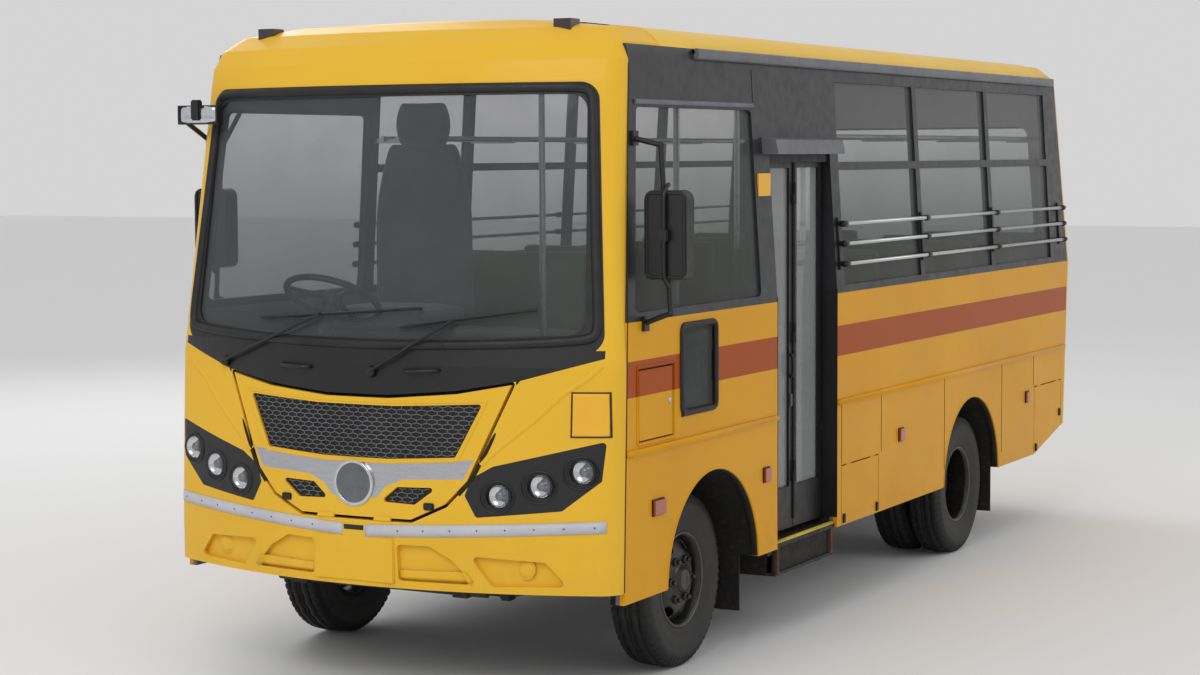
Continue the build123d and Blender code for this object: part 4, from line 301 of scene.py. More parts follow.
# Every look by name: colour, shade, roughness, grain, its depth and dust of the plastics
PLASTICS = {
    "black_paint": ((35, 36, 41), (29, 30, 34), 0.36, 300.0, 0.06, 0.04),
    "black_trim": ((22, 22, 24), (16, 16, 17), 0.42, 900.0, 0.3, 0.03),
    "cowl_black": ((18, 17, 18), (13, 13, 13), 0.4, 800.0, 0.25, 0.02),
    "mesh_black": ((13, 13, 14), (9, 9, 10), 0.6, 500.0, 0.1),
    "window_rubber": ((24, 24, 26), (18, 18, 19), 0.55, 500.0, 0.2, 0.06),
    "liner_black": ((20, 20, 20), (14, 14, 14), 0.8, 120.0, 0.7, 0.16),
    "chassis_black": ((24, 24, 25), (16, 16, 16), 0.6, 150.0, 0.4, 0.3),
    "rim_black": ((24, 24, 25), (16, 16, 17), 0.3, 200.0, 0.15, 0.12),
    "floor_cover": ((90, 90, 92), (74, 74, 76), 0.7, 60.0, 0.3, 0.1),
    "dash_grey": ((58, 58, 60), (46, 46, 48), 0.6, 600.0, 0.4),
    "seat_steel": ((96, 98, 100), (80, 82, 84), 0.4, 200.0, 0.1),
    "strip_white": ((200, 200, 206), (186, 186, 192), 0.35, 420.0, 0.5, 0.06),
    "nosing_yellow": ((206, 186, 60), (190, 168, 44), 0.55, 300.0, 0.2, 0.3),
    "sign_yellow": ((240, 182, 44), (236, 174, 38), 0.4, 600.0, 0.05),
    "seam_black": ((26, 22, 14), (18, 15, 10), 0.8),
    "lattice_grey": ((112, 113, 116), (92, 93, 96), 0.3, 500.0, 0.1),
    "hub_grey": ((48, 47, 46), (30, 30, 29), 0.32, 160.0, 0.25, 0.2),
    "worn_steel": ((104, 102, 98), (62, 60, 58), 0.4, 120.0, 0.4, 0.25),
    "trim_grey": ((104, 105, 112), (88, 89, 95), 0.34, 300.0, 0.08, 0.06),
    "rusty_steel": ((96, 62, 40), (58, 44, 36), 0.85, 140.0, 0.6, 0.3),
}
# Colour, roughness, scale and depth of the noise, and how it is drawn out, of the metals
METALS = {
    "engine_iron": ((92, 92, 96), 0.6, 90.0, 0.5),
    "rail_steel": ((205, 206, 208), 0.28, 220.0, 0.1, (1.0, 0.02, 1.0)),
    "silver_trim": ((200, 202, 206), 0.22, 120.0, 0.02, (0.05, 1.0, 1.0)),
    "chrome": ((222, 223, 226), 0.08, 30.0, 0.0),
    "bulb_grey": ((122, 124, 128), 0.18, 24.0, 0.01),
    "mirror_silver": ((214, 218, 222), 0.06, 12.0, 0.0),
}
# Tints at the low and high end of a height range (a painted lighter top), dust with painted reflection, and
# gloss of the glasses
GLASSES = {
    "window_glass": ((0.69, 0.7, 0.7, 1.0), (0.94, 0.94, 0.94, 1.0), (1.65, 2.45), 0.06, rgb(128, 130, 130)),
    "windscreen_clear": (
        (0.78, 0.79, 0.8, 1.0), (0.9, 0.9, 0.91, 1.0), (1.45, 2.35), 0.1, rgb(132, 134, 136),
    ),
    "door_clear": ((0.9, 0.91, 0.91, 1.0), (0.92, 0.93, 0.93, 1.0), (0.6, 2.2), 0.26, rgb(178, 180, 180)),
}
looks = {
    # One coach yellow in three copies: the front's and the roof's are made lighter than the sides', as
    # painted light on the faces the light falls on most
    "yellow_paint": paint("yellow_paint", rgb(235, 187, 58), rgb(230, 180, 52)),
    "side_paint": paint("side_paint", rgb(222, 160, 12), rgb(214, 151, 10), dust=0.08, stripe=True),
    "lit_roof_paint": paint("lit_roof_paint", rgb(240, 196, 70), rgb(235, 189, 64), dust=0.0),
    "lens_clear": lamp_lens("lens_clear", rgb(222, 226, 228), 0.14),
    "amber_lens": marker_lens("amber_lens"),
    "tyre_black": tyre_rubber("tyre_black"),
    "bench_cloth": cloth("bench_cloth", rgb(112, 122, 62), rgb(94, 104, 50)),
    "driver_cloth": cloth("driver_cloth", rgb(96, 96, 100), rgb(76, 76, 80)),
}
for kind, rows in ((plastic, PLASTICS), (metal, METALS), (clear_glass, GLASSES)):
    looks.update({name: kind(name, *values) for name, values in rows.items()})

NODE_LOOKS = {
    "yellow_paint": "front_mask front_bumper grille_flap rear_panel",
    "side_paint": "left_front_panel left_rear_panel right_lower_panel service_flap locker_flap rear_flap",
    "lit_roof_paint": "roof_panel",
    "black_paint": "left_front_window_frame left_rear_window_frame right_window_frame cantrails door_frame",
    "black_trim": "headlamp_housings mirrors steering_wheel door_front_leaf door_rear_leaf",
    "cowl_black": "cowl_panel",
    "mesh_black": "grille_mesh",
    "window_rubber": "windscreen_gasket",
    "liner_black": "arch_liners",
    "chassis_black": "chassis_frame front_axle_beam rear_axle leaf_springs knuckle_left knuckle_right "
    "tie_rod underfloor_units entrance_steps tow_eyes",
    "rim_black": "front_rim_left front_rim_right rear_rim_left rear_rim_right",
    "floor_cover": "floor",
    "dash_grey": "dashboard",
    "engine_iron": "engine_block",
    "rail_steel": "luggage_racks guard_rails",
    "seat_steel": "seat_frames",
    "silver_trim": "grille_bar",
    "window_glass": "side_glass rear_glass",
    "windscreen_clear": "windscreen_glass",
    "door_clear": "door_front_glass door_rear_glass",
    "lens_clear": "headlamp_lenses",
    "amber_lens": "signal_lamps",
    "tyre_black": "front_tyre_left front_tyre_right rear_tyres_left rear_tyres_right",
    "bench_cloth": "passenger_seats",
    "driver_cloth": "driver_seat",
}
for look, names in NODE_LOOKS.items():
    for name in names.split():
        mesh = nodes[name].data
        mesh.materials.clear()
        mesh.materials.append(looks[look])


# Mesh helpers. Every piece is built in place, in the row frame.
def add_piece(name, mesh, look, body="bus", smooth=True):
    """Makes a piece that rides on a body."""
    piece = bpy.data.objects.new(name, mesh)
    bpy.context.scene.collection.objects.link(piece)
    mesh.materials.append(looks[look])
    if smooth:
        mesh.shade_smooth()
    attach(piece, body)
    return piece


def mesh_from(name, points, faces):
    mesh = bpy.data.meshes.new(name)
    mesh.from_pydata([tuple(p) for p in points], [], [tuple(f) for f in faces])
    mesh.update()
    return mesh


def mesh_from_bmesh(name, build):
    mesh = bpy.data.meshes.new(name)
    build.to_mesh(mesh)
    build.free()
    return mesh


def boxes(name, corners, rounding, look, body="bus"):
    """Rounded boxes joined in one piece, each from its lowest and highest corner."""
    build = bmesh.new()
    for low, high in corners:
        low, high = Vector(low), Vector(high)
        matrix = Matrix.Translation((low + high) / 2) @ Matrix.Diagonal((*(high - low), 1.0))
        bmesh.ops.create_cube(build, size=1.0, matrix=matrix)
    bevel = {"offset": rounding, "segments": 2, "affect": "EDGES", "clamp_overlap": True}
    bmesh.ops.bevel(build, geom=build.edges[:], **bevel)
    return add_piece(name, mesh_from_bmesh(name, build), look, body, smooth=False)


def rods(name, runs, look, body="bus", sides=16):
    """Round bars joined in one piece, each from a start, an end, and the radius at each."""
    build = bmesh.new()
    for start, end, first, last in runs:
        start = Vector(start)
        along = Vector(end) - start
        turn = along.to_track_quat("Z", "Y").to_matrix().to_4x4()
        matrix = Matrix.Translation(start + along / 2) @ turn
        cone = {"radius1": first, "radius2": last, "depth": along.length}
        bmesh.ops.create_cone(build, cap_ends=True, segments=sides, matrix=matrix, **cone)
    return add_piece(name, mesh_from_bmesh(name, build), look, body)


def tube(name, points, radius, look, body="bus"):
    """A smooth bent tube through points."""
    curve = bpy.data.curves.new(name, "CURVE")
    curve.dimensions = "3D"
    curve.bevel_depth = radius
    curve.bevel_resolution = 4
    curve.use_fill_caps = True
    line = curve.splines.new("NURBS")
    line.points.add(len(points) - 1)
    for point, place in zip(line.points, points):
        point.co = (*place, 1.0)
    line.order_u = 3
    line.use_endpoint_u = True
    holder = bpy.data.objects.new(name + "_line", curve)
    bpy.context.scene.collection.objects.link(holder)
    bpy.context.view_layer.update()
    mesh = bpy.data.meshes.new_from_object(holder.evaluated_get(bpy.context.evaluated_depsgraph_get()))
    bpy.data.objects.remove(holder)
    return add_piece(name, mesh, look, body)


def thicken(piece, thick, offset=0.0):
    """Gives a sheet its thickness."""
    shell = piece.modifiers.new("thickness", "SOLIDIFY")
    shell.thickness = thick
    shell.offset = offset
    return piece


def sheet(name, points, columns, thick, look, smooth=True):
    """A thin sheet through a grid of points, given row by row."""
    rows = len(points) // columns
    starts = [i * columns + j for i in range(rows - 1) for j in range(columns - 1)]
    faces = [(a, a + 1, a + columns + 1, a + columns) for a in starts]
    piece = add_piece(name, mesh_from(name, points, faces), look, smooth=smooth)
    return thicken(piece, thick)


def between(start, end, share):
    """The place at a share of the way from one place to another."""
    return tuple(a + (b - a) * share for a, b in zip(start, end))


def circle(count):
    """Even angles round a circle."""
    return [math.tau * k / count for k in range(count)]


def turned(build, origin, axis, profile, segments):
    """Adds a turned form to a bmesh, from (distance along the axis, radius) points."""
    axis = Vector(axis).normalized()
    first = axis.orthogonal().normalized()
    second = axis.cross(first)
    spokes = [math.cos(a) * first + math.sin(a) * second for a in circle(segments)]
    rings = []
    for along, radius in profile:
        middle = Vector(origin) + axis * along
        if radius == 0:
            rings.append([build.verts.new(middle)] * segments)
        else:
            rings.append([build.verts.new(middle + radius * spoke) for spoke in spokes])
    for one, two in zip(rings, rings[1:]):
        for k in range(segments):
            after = (k + 1) % segments
            corners = [one[k], one[after], two[after], two[k]]
            build.faces.new(list(dict.fromkeys(corners)))


def turned_piece(name, places, axis, profile, segments, look, body="bus"):
    """One or more like turned forms as a piece."""
    build = bmesh.new()
    for place in places:
        turned(build, place, axis, profile, segments)
    bmesh.ops.recalc_face_normals(build, faces=build.faces[:])
    return add_piece(name, mesh_from_bmesh(name, build), look, body)


def ring_profile(radius, thick, points=12):
    """The profile of a round ring."""
    turns = circle(points) + [math.tau]
    return [(thick * math.sin(t), radius + thick * math.cos(t)) for t in turns]


def swept(name, profile, ends, look):
    """A closed (X, Z) profile drawn along Y."""
    count = len(profile)
    points = [(x, y, z) for y in ends for x, z in profile]
    faces = [(k, (k + 1) % count, count + (k + 1) % count, count + k) for k in range(count)]
    faces += [tuple(range(count))[::-1], tuple(range(count, 2 * count))]
    build = bmesh.new()
    mesh = mesh_from(name, points, faces)
    build.from_mesh(mesh)
    bmesh.ops.recalc_face_normals(build, faces=build.faces[:])
    build.to_mesh(mesh)
    build.free()
    return add_piece(name, mesh, look, smooth=False)


SEAM_THICK = 0.0012


def wall_seam(name, side, places, width, lift=0.0008):
    """A thin dark strip on a side wall along (Y, Z) places."""
    points = []
    for k, (y, z) in enumerate(places):
        before = places[max(k - 1, 0)]
        after = places[min(k + 1, len(places) - 1)]
        run = Vector((after[0] - before[0], after[1] - before[1])).normalized()
        across = Vector((-run.y, run.x)) * width / 2
        for sign in (-1, 1):
            strip_z = z + sign * across.y
            points.append((side * (wall_x(strip_z) + lift), y + sign * across.x, strip_z))
    return sheet(name, points, 2, SEAM_THICK, "seam_black", smooth=False)


def search_tree(*names):
    """One search tree over several CAD nodes, for finding places on their surface."""
    points = []
    faces = []
    for name in names:
        start = len(points)
        mesh = nodes[name].data
        points += [v.co.copy() for v in mesh.vertices]
        faces += [[start + i for i in face.vertices] for face in mesh.polygons]
    return BVHTree.FromPolygons(points, faces)


GRILLE_NODES = ("grille_flap", "grille_bar", "grille_mesh")
SCREEN_NODES = ("cowl_panel", "windscreen_gasket", "windscreen_glass")
nose_tree = search_tree("front_mask", "front_bumper", *SCREEN_NODES, "headlamp_housings", *GRILLE_NODES)
tail_tree = search_tree("rear_panel", "rear_glass")
RAY_START = 0.5
SHEET_ROOM = 0.0013


def surface_place(tree, start, ahead, fallback, lift):
    """Where a ray meets a surface, or else the surface's place nearest to a fallback, lifted off it."""
    place, normal, _, _ = tree.ray_cast(Vector(start), Vector(ahead))
    if place is None:
        place, normal, _, _ = tree.find_nearest(Vector(fallback))
    return place + normal * lift


def on_nose(x, z, lift=0.0, room=SHEET_ROOM):
    """The place on the bus's front at an X and Z, lifted off the surface but kept inside the CAD's box."""
    start = (x, cad_low.y - RAY_START, z)
    raised = surface_place(nose_tree, start, (0, 1, 0), (x, cad_low.y + 0.15, z), lift)
    raised.y = max(raised.y, cad_low.y + room)
    return raised


def on_tail(x, z, lift=0.0):
    """The place on the bus's back at an X and Z, lifted off the surface but kept inside the CAD's box."""
    start = (x, cad_high.y + RAY_START, z)
    raised = surface_place(tail_tree, start, FORWARD, (x, cad_high.y - 0.05, z), lift)
    raised.y = min(raised.y, cad_high.y - SHEET_ROOM)
    return raised


def nose_sheet(name, grid, lift, thick, look):
    """A thin plate that follows the front's surface through a grid of (X, Z) places."""
    points = [on_nose(x, z, lift) for row in grid for x, z in row]
    return sheet(name, points, len(grid[0]), thick, look)


def grid_between(low_left, low_right, high_left, high_right, columns, rows):
    """A grid of places between four corners."""
    corners = [np.array(c, float) for c in (low_left, low_right, high_left, high_right)]
    grid = []
    for v in np.linspace(0, 1, rows):
        left = corners[0] * (1 - v) + corners[2] * v
        right = corners[1] * (1 - v) + corners[3] * v
        grid.append([tuple(left * (1 - u) + right * u) for u in np.linspace(0, 1, columns)])
    return grid


# Front: reflective strips along the bumper's top, the blank plate panel, the blank sign
STRIP_X = (0.055, 1.062)
STRIP_Z = (0.687, 0.736)
STRIP_RISE = 0.049
RIVETS = 9
for side, end in SIDES:
    near, far = (side * x for x in STRIP_X)
    low, high = STRIP_Z
    corners = ((near, low), (far, low + STRIP_RISE), (near, high), (far, high + STRIP_RISE))
    nose_sheet(f"reflective_strip_{end}", grid_between(*corners, 48, 3), 0.002, 0.002, "strip_white")
    rivets = []
    for t in np.linspace(0.04, 0.96, RIVETS):
        x, z = between((near, (low + high) / 2), (far, (low + high) / 2 + STRIP_RISE), t)
        rivets.append((on_nose(x, z, 0.001), on_nose(x, z, 0.0045), 0.0045, 0.003))
    rods(f"strip_rivets_{end}", rivets, "hub_grey", sides=10)
EDGE_ROOM = 0.0003
plate_front = cad_low.y + EDGE_ROOM
plate_box = ((-0.193, plate_front, 0.498), (0.193, plate_front + 0.04, 0.688))
boxes("blank_plate_panel", [plate_box], 0.004, "yellow_paint")
SIGN_X = (0.925, 1.075)
SIGN_TOP_X = (0.925, 1.07)
SIGN_Z = (1.121, 1.305)
BORDER = 0.006


def sign_sheet(name, low_x, high_x, zs, lift, thick, look):
    """A sheet on the sign's place between two heights, from the X spans at its foot and top."""
    corners = [(x, z) for span, z in zip((low_x, high_x), zs) for x in span]
    nose_sheet(name, grid_between(*corners, 12, 12), lift, thick, look)


sign_sheet("blank_sign", SIGN_X, SIGN_TOP_X, SIGN_Z, 0.0015, 0.0015, "sign_yellow")
SIGN_EDGES = {
    "low": (SIGN_X, SIGN_X, (SIGN_Z[0], SIGN_Z[0] + BORDER)),
    "high": (SIGN_TOP_X, SIGN_TOP_X, (SIGN_Z[1] - BORDER, SIGN_Z[1])),
    "inner": ((SIGN_X[0], SIGN_X[0] + BORDER), (SIGN_TOP_X[0], SIGN_TOP_X[0] + BORDER), SIGN_Z),
    "outer": ((SIGN_X[1] - BORDER, SIGN_X[1]), (SIGN_TOP_X[1] - BORDER, SIGN_TOP_X[1]), SIGN_Z),
}
for edge, spans in SIGN_EDGES.items():
    sign_sheet(f"blank_sign_border_{edge}", *spans, 0.0025, 0.001, "black_trim")

# Front: wipers and the two grab handles on the cowl
WIPERS = {
    "right": ((-0.74, 1.377), (-0.523, 1.569), (0.294, 1.63)),
    "left": ((0.078, 1.37), (0.205, 1.551), (0.777, 1.632)),
}
WIPER_LIFT = 0.022
PIVOT_LIFT = 0.026
ARM_SHARE = 0.42
for end, (pivot, inner, outer) in WIPERS.items():
    root = on_nose(*pivot, PIVOT_LIFT)
    blade = [on_nose(*between(inner, outer, t), WIPER_LIFT) for t in np.linspace(0, 1, 9)]
    tip = on_nose(*between(inner, outer, ARM_SHARE), WIPER_LIFT + 0.018)
    bend = (root + tip) / 2 + Vector((0, -0.016, 0))
    tube(f"wiper_arm_{end}", [root, bend, tip], 0.007, "black_trim")
    rods(f"wiper_pivot_{end}", [(on_nose(*pivot), root, 0.026, 0.017)], "black_trim")
    tube(f"wiper_blade_{end}", blade, 0.006, "window_rubber")
    spine = [p + Vector((0, -0.012, 0.002)) for p in blade[1:-1]]
    tube(f"wiper_spine_{end}", spine, 0.004, "black_trim")
HANDLE_OUT = Vector((0, -0.035, 0))
for side, end in SIDES:
    low = on_nose(side * 0.235, 1.378)
    high = on_nose(side * 0.385, 1.384)
    tube(f"cowl_handle_{end}", [low, low + HANDLE_OUT, high + HANDLE_OUT, high], 0.008, "black_trim")


def inside(outline, x, z):
    """Whether a place lies inside an outline."""
    odd = False
    for (x1, z1), (x2, z2) in zip(outline, outline[1:] + outline[:1]):
        if (z1 > z) != (z2 > z) and x < (x2 - x1) * (z - z1) / (z2 - z1) + x1:
            odd = not odd
    return odd


def trimmed(outline, start, end):
    """The part of a run that lies inside an outline, or nothing."""
    within = [inside(outline, *start), inside(outline, *end)]
    if not any(within):
        return None
    if all(within):
        return start, end
    good, bad = (start, end) if within[0] else (end, start)
    low, high = 0.0, 1.0
    for _ in range(12):
        share = (low + high) / 2
        low, high = (share, high) if inside(outline, *between(good, bad, share)) else (low, share)
    return good, between(good, bad, low)


# Grille: a six-sided lattice over the mesh plates
LOWER_MESH = [(0.205, 0.894), (0.352, 0.897), (0.27, 0.836), (0.157, 0.84)]
MESH_OUTLINES = {
    "main": [
        (-0.566, 1.245), (-0.19, 1.231), (0.19, 1.231), (0.566, 1.245), (0.458, 1.033), (0.16, 1.015),
        (-0.16, 1.015), (-0.458, 1.033),
    ],
    "lower_left": LOWER_MESH,
    "lower_right": [(-x, z) for x, z in LOWER_MESH],
}
CELL_WIDE = 0.046
CELL_HIGH = 0.024
ROW_STEP = 0.75 * CELL_HIGH
SHORTEST_WIRE = 0.002
LATTICE_R = 0.0026
LATTICE_LIFT = 0.003
for part, outline in MESH_OUTLINES.items():
    xs, zs = zip(*outline)
    runs = []
    for row in range(int((max(zs) - min(zs)) / ROW_STEP) + 3):
        for column in range(int((max(xs) - min(xs)) / CELL_WIDE) + 3):
            x = min(xs) - CELL_WIDE + CELL_WIDE * (column + 0.5 * (row % 2))
            z = min(zs) - CELL_HIGH + ROW_STEP * row
            top = (x, z + CELL_HIGH / 2)
            high_left = (x - CELL_WIDE / 2, z + CELL_HIGH / 4)
            high_right = (x + CELL_WIDE / 2, z + CELL_HIGH / 4)
            low_left = (x - CELL_WIDE / 2, z - CELL_HIGH / 4)
            for start, end in ((low_left, high_left), (high_left, top), (top, high_right)):
                run = trimmed(outline, start, end)
                if run and math.dist(*run) > SHORTEST_WIRE:
                    start, end = (on_nose(*place, LATTICE_LIFT) for place in run)
                    runs.append((start, end, LATTICE_R, LATTICE_R))
    rods(f"grille_lattice_{part}", runs, "lattice_grey", "grille_flap", sides=5)

# Grille: the plain disc's ring and dished face, hinge blocks and the block between the strips
DISC_Z = 0.907
DISC_DISH = [(0.0072, 0.083), (0.0074, 0.07), (0.0077, 0.045), (0.0079, 0.02), (0.008, 0.0)]
disc_place = on_nose(0.0, DISC_Z) + Vector((0, 0.0068, 0))
for part, profile, look in (("ring", ring_profile(0.089, 0.008), "chrome"), ("face", DISC_DISH, "bulb_grey")):
    turned_piece(f"disc_{part}", [disc_place], FORWARD, profile, 64, look, "grille_flap")
blocks = []
for side, _ in SIDES:
    place = on_nose(side * 0.352, 0.826)
    blocks.append((place - Vector((0.024, 0.01, 0.015)), place + Vector((0.024, 0.004, 0.015))))
boxes("grille_hinge_blocks", blocks, 0.004, "black_trim", "grille_flap")
middle = on_nose(0.0, 0.722)
block_low = middle - Vector((0.052, 0.006, 0.014))
block_low.y = max(block_low.y, cad_low.y + EDGE_ROOM)
block_high = middle + Vector((0.052, 0.01, 0.014))
boxes("bumper_centre_block", [(block_low, block_high)], 0.004, "black_trim")

# Headlamps: chrome bowls with their bulbs, clear domes and bezels in place of the lens discs, with dark rings
# of painted shade round the bowls
LAMPS = [(0.643, -3.169, 0.878), (0.81, -3.121, 0.922), (0.973, -3.061, 0.982)]
lamp_places = [(side * x, y, z) for side, _ in SIDES for x, y, z in LAMPS]
BOWL = [(0.0, 0.0475), (-0.004, 0.0455), (-0.01, 0.036), (-0.014, 0.026), (-0.0165, 0.016), (-0.0165, 0.0)]
BULB = [
    (-0.0165, 0.014), (-0.008, 0.014), (-0.006, 0.019), (-0.001, 0.0185), (0.003, 0.014), (0.0045, 0.007),
    (0.005, 0.0),
]
DOME = [(0.0, 0.048), (0.004, 0.047), (0.008, 0.042), (0.0115, 0.032), (0.0135, 0.018), (0.014, 0.0)]
BEZEL = ring_profile(0.0515, 0.0045)
bowls = turned_piece("headlamp_bowls", lamp_places, FORWARD, BOWL, 40, "chrome")
turned_piece("headlamp_bulbs", lamp_places, FORWARD, BULB, 32, "bulb_grey")
domes = turned_piece("headlamp_domes", lamp_places, FORWARD, DOME, 40, "lens_clear")
turned_piece("headlamp_bezels", lamp_places, FORWARD, BEZEL, 40, "black_trim")
# Radii and offset of the dark rings of painted shade round the bowls
RECESS_SHADE_RADII = (0.052, 0.058, 0.063, 0.068)
RECESS_SHADE_SHIFT = 0.003
RIM_RADII = (0.071, 0.066)
RIM_SHIFT = 0.004
for side, end in SIDES:
    for k, (x, _, z) in enumerate(LAMPS):
        turns = circle(28) + [math.tau]
        rim = []
        for t in turns:
            rim_x = x - RIM_SHIFT + RIM_RADII[0] * math.cos(t)
            rim.append(on_nose(side * rim_x, z - RIM_SHIFT + RIM_RADII[1] * math.sin(t)))
        tube(f"headlamp_bowl_rim_{end}_{k + 1}", rim, 0.0045, "black_trim")
        # A dark ring round each bowl: painted shade standing for a recess that the shape does not have
        recess_shade = [
            [(side * (x - RECESS_SHADE_SHIFT + r * math.cos(t)), z - RECESS_SHADE_SHIFT + r * math.sin(t)) for t in turns]
            for r in RECESS_SHADE_RADII
        ]
        nose_sheet(f"headlamp_recess_shade_{end}_{k + 1}", recess_shade, 0.0012, 0.001, "mesh_black")
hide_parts("headlamp_lenses")
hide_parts("headlamp_lenses")

# Bumper: round blanks in the outer pockets
BLANK = [
    (-0.004, 0.046), (0.004, 0.046), (0.006, 0.042), (0.002, 0.039), (0.007, 0.035), (0.01, 0.018),
    (0.011, 0.0),
]
fog_places = [on_nose(side * 0.743, 0.583) for side, _ in SIDES]
turned_piece("fog_blanks", fog_places, FORWARD, BLANK, 40, "yellow_paint")

# Tyres: bulged side walls, ribbed tread with zigzag grooves and cut shoulders
TYRE_CUTS = 64
CUT_STEPS = 4
CUT_DEPTH = 0.007
CUT_INSET = 0.004
ZIGZAG = 0.003
TYRE_WALL = [
    (0.034, -0.181), (0.026, -0.176), (0.022, -0.166), (0.012, -0.146), (0.0135, -0.141), (0.0075, -0.128),
    (0.002, -0.1), (0.0005, -0.084), (0.002, -0.07), (0.0005, -0.066), (0.004, -0.05),
]
TYRE_SHOULDER = [(0.007, -0.042), (0.011, -0.026), (0.017, -0.011), (0.024, -0.005)]
TREAD_EDGE = [(0.2, -0.0035), (0.235, -0.003)]
TREAD_RIBS = [
    (0.24, -0.013), (0.285, -0.013), (0.29, -0.002), (0.43, -0.0005), (0.435, -0.013), (0.48, -0.013),
    (0.485, 0.0),
]


def wheel_place(side, x, axle_y, radius, angle):
    """A place on a wheel, from its distance out, radius and angle."""
    return (side * x, axle_y + radius * math.sin(angle), AXLE_Z + radius * math.cos(angle))


def tyre_into(build, side, outer_x, width, axle_y):
    """Adds a tyre between two side planes to a bmesh."""
    near = [(inset, drop, "") for inset, drop in TYRE_WALL]
    near += [(inset, drop, "cut") for inset, drop in TYRE_SHOULDER]
    near += [(share * width, drop, "cut") for share, drop in TREAD_EDGE]
    near += [(share * width, drop, "zig") for share, drop in TREAD_RIBS]
    section = near + [(width - inset, drop, kind) for inset, drop, kind in reversed(near)]
    rings = []
    for k, angle in enumerate(circle(TYRE_CUTS * CUT_STEPS)):
        sway = ZIGZAG if (k // CUT_STEPS) % 2 else -ZIGZAG
        ring = []
        for inset, drop, kind in section:
            if kind == "cut" and k % CUT_STEPS == 0:
                drop -= CUT_DEPTH
                inset += CUT_INSET if inset < width / 2 else -CUT_INSET
            if kind == "zig":
                inset += sway
            ring.append(build.verts.new(wheel_place(side, outer_x - inset, axle_y, TYRE_R + drop, angle)))
        rings.append(ring)
    for one, two in zip(rings, rings[1:] + rings[:1]):
        for k in range(len(section)):
            after = (k + 1) % len(section)
            build.faces.new((one[k], one[after], two[after], two[k]))


TYRE_SETS = {
    "front_tyre": ("front_wheel", FRONT_AXLE_Y, [(0.96, 0.2)]),
    "rear_tyres": ("rear_wheel", REAR_AXLE_Y, [(1.036, 0.19), (0.82, 0.19)]),
}
for side, end in SIDES:
    for kind, (wheel, axle_y, tyres) in TYRE_SETS.items():
        build = bmesh.new()
        for outer_x, width in tyres:
            tyre_into(build, side, outer_x, width, axle_y)
        bmesh.ops.recalc_face_normals(build, faces=build.faces[:])
        name = f"{kind}_tread_{end}"
        piece = add_piece(name, mesh_from_bmesh(name, build), "tyre_black", f"{wheel}_{end}")
        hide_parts(f"{kind}_{end}")

# Rims: flanged barrels, discs with hand holes, hubs and nuts
HOLES = 6
DISC_STEPS = 96
NUTS = 6
FRONT_BARREL = [
    (0.784, 0.196), (0.784, 0.211), (0.79, 0.211), (0.794, 0.203), (0.926, 0.203), (0.93, 0.212),
    (0.936, 0.212), (0.937, 0.206), (0.931, 0.196), (0.888, 0.19), (0.88, 0.19), (0.784, 0.196),
]
REAR_BARREL = [
    (0.642, 0.196), (0.642, 0.211), (0.648, 0.211), (0.652, 0.203), (1.0, 0.203), (1.005, 0.212),
    (1.011, 0.212), (1.012, 0.206), (1.006, 0.196), (0.99, 0.193), (0.86, 0.188), (0.85, 0.188),
    (0.642, 0.196),
]
FRONT_DISC = [
    (0.884, 0.192), (0.888, 0.18), (0.894, 0.172), (0.9, 0.164), (0.906, 0.155), (0.911, 0.146),
    (0.915, 0.138), (0.919, 0.128), (0.922, 0.116), (0.922, 0.072), (0.926, 0.066),
]
REAR_DISC = [
    (0.858, 0.19), (0.853, 0.182), (0.851, 0.177), (0.85, 0.17), (0.849, 0.162), (0.849, 0.154),
    (0.849, 0.147), (0.85, 0.14), (0.852, 0.134), (0.853, 0.11), (0.854, 0.106),
]
HOLE_ROWS = {2: 3, 3: 4, 4: 4, 5: 3}
FRONT_HUB = [
    (0.9, 0.072), (0.926, 0.07), (0.93, 0.06), (0.936, 0.052), (0.954, 0.049), (0.957, 0.042),
    (0.957, 0.026), (0.954, 0.022), (0.954, 0.0),
]
REAR_HUB = [
    (0.852, 0.105), (0.915, 0.101), (0.92, 0.097), (0.921, 0.06), (0.926, 0.056), (0.934, 0.05),
    (0.936, 0.03), (0.936, 0.0),
]
FRONT_NUT_X = (0.921, 0.941, 0.957)
REAR_NUT_X = (0.852, 0.872, 0.886)
RIM_SETS = {
    "front_rim": ("front_wheel", FRONT_AXLE_Y, FRONT_BARREL, FRONT_DISC, FRONT_HUB, FRONT_NUT_X, 0.097),
    "rear_rim": ("rear_wheel", REAR_AXLE_Y, REAR_BARREL, REAR_DISC, REAR_HUB, REAR_NUT_X, 0.121),
}


def holed_disc(name, side, axle_y, profile):
    """A wheel's pressed disc, with the quads of its hand holes left out."""
    points = [wheel_place(side, x, axle_y, radius, a) for x, radius in profile for a in circle(DISC_STEPS)]
    pitch = DISC_STEPS // HOLES
    faces = []
    for row in range(len(profile) - 1):
        for k in range(DISC_STEPS):
            offset = abs((k % pitch) - pitch / 2 + 0.5)
            if offset < HOLE_ROWS.get(row, 0):
                continue
            after = (k + 1) % DISC_STEPS
            a, b = row * DISC_STEPS, (row + 1) * DISC_STEPS
            faces.append((a + k, a + after, b + after, b + k)[::side])
    return mesh_from(name, points, faces)


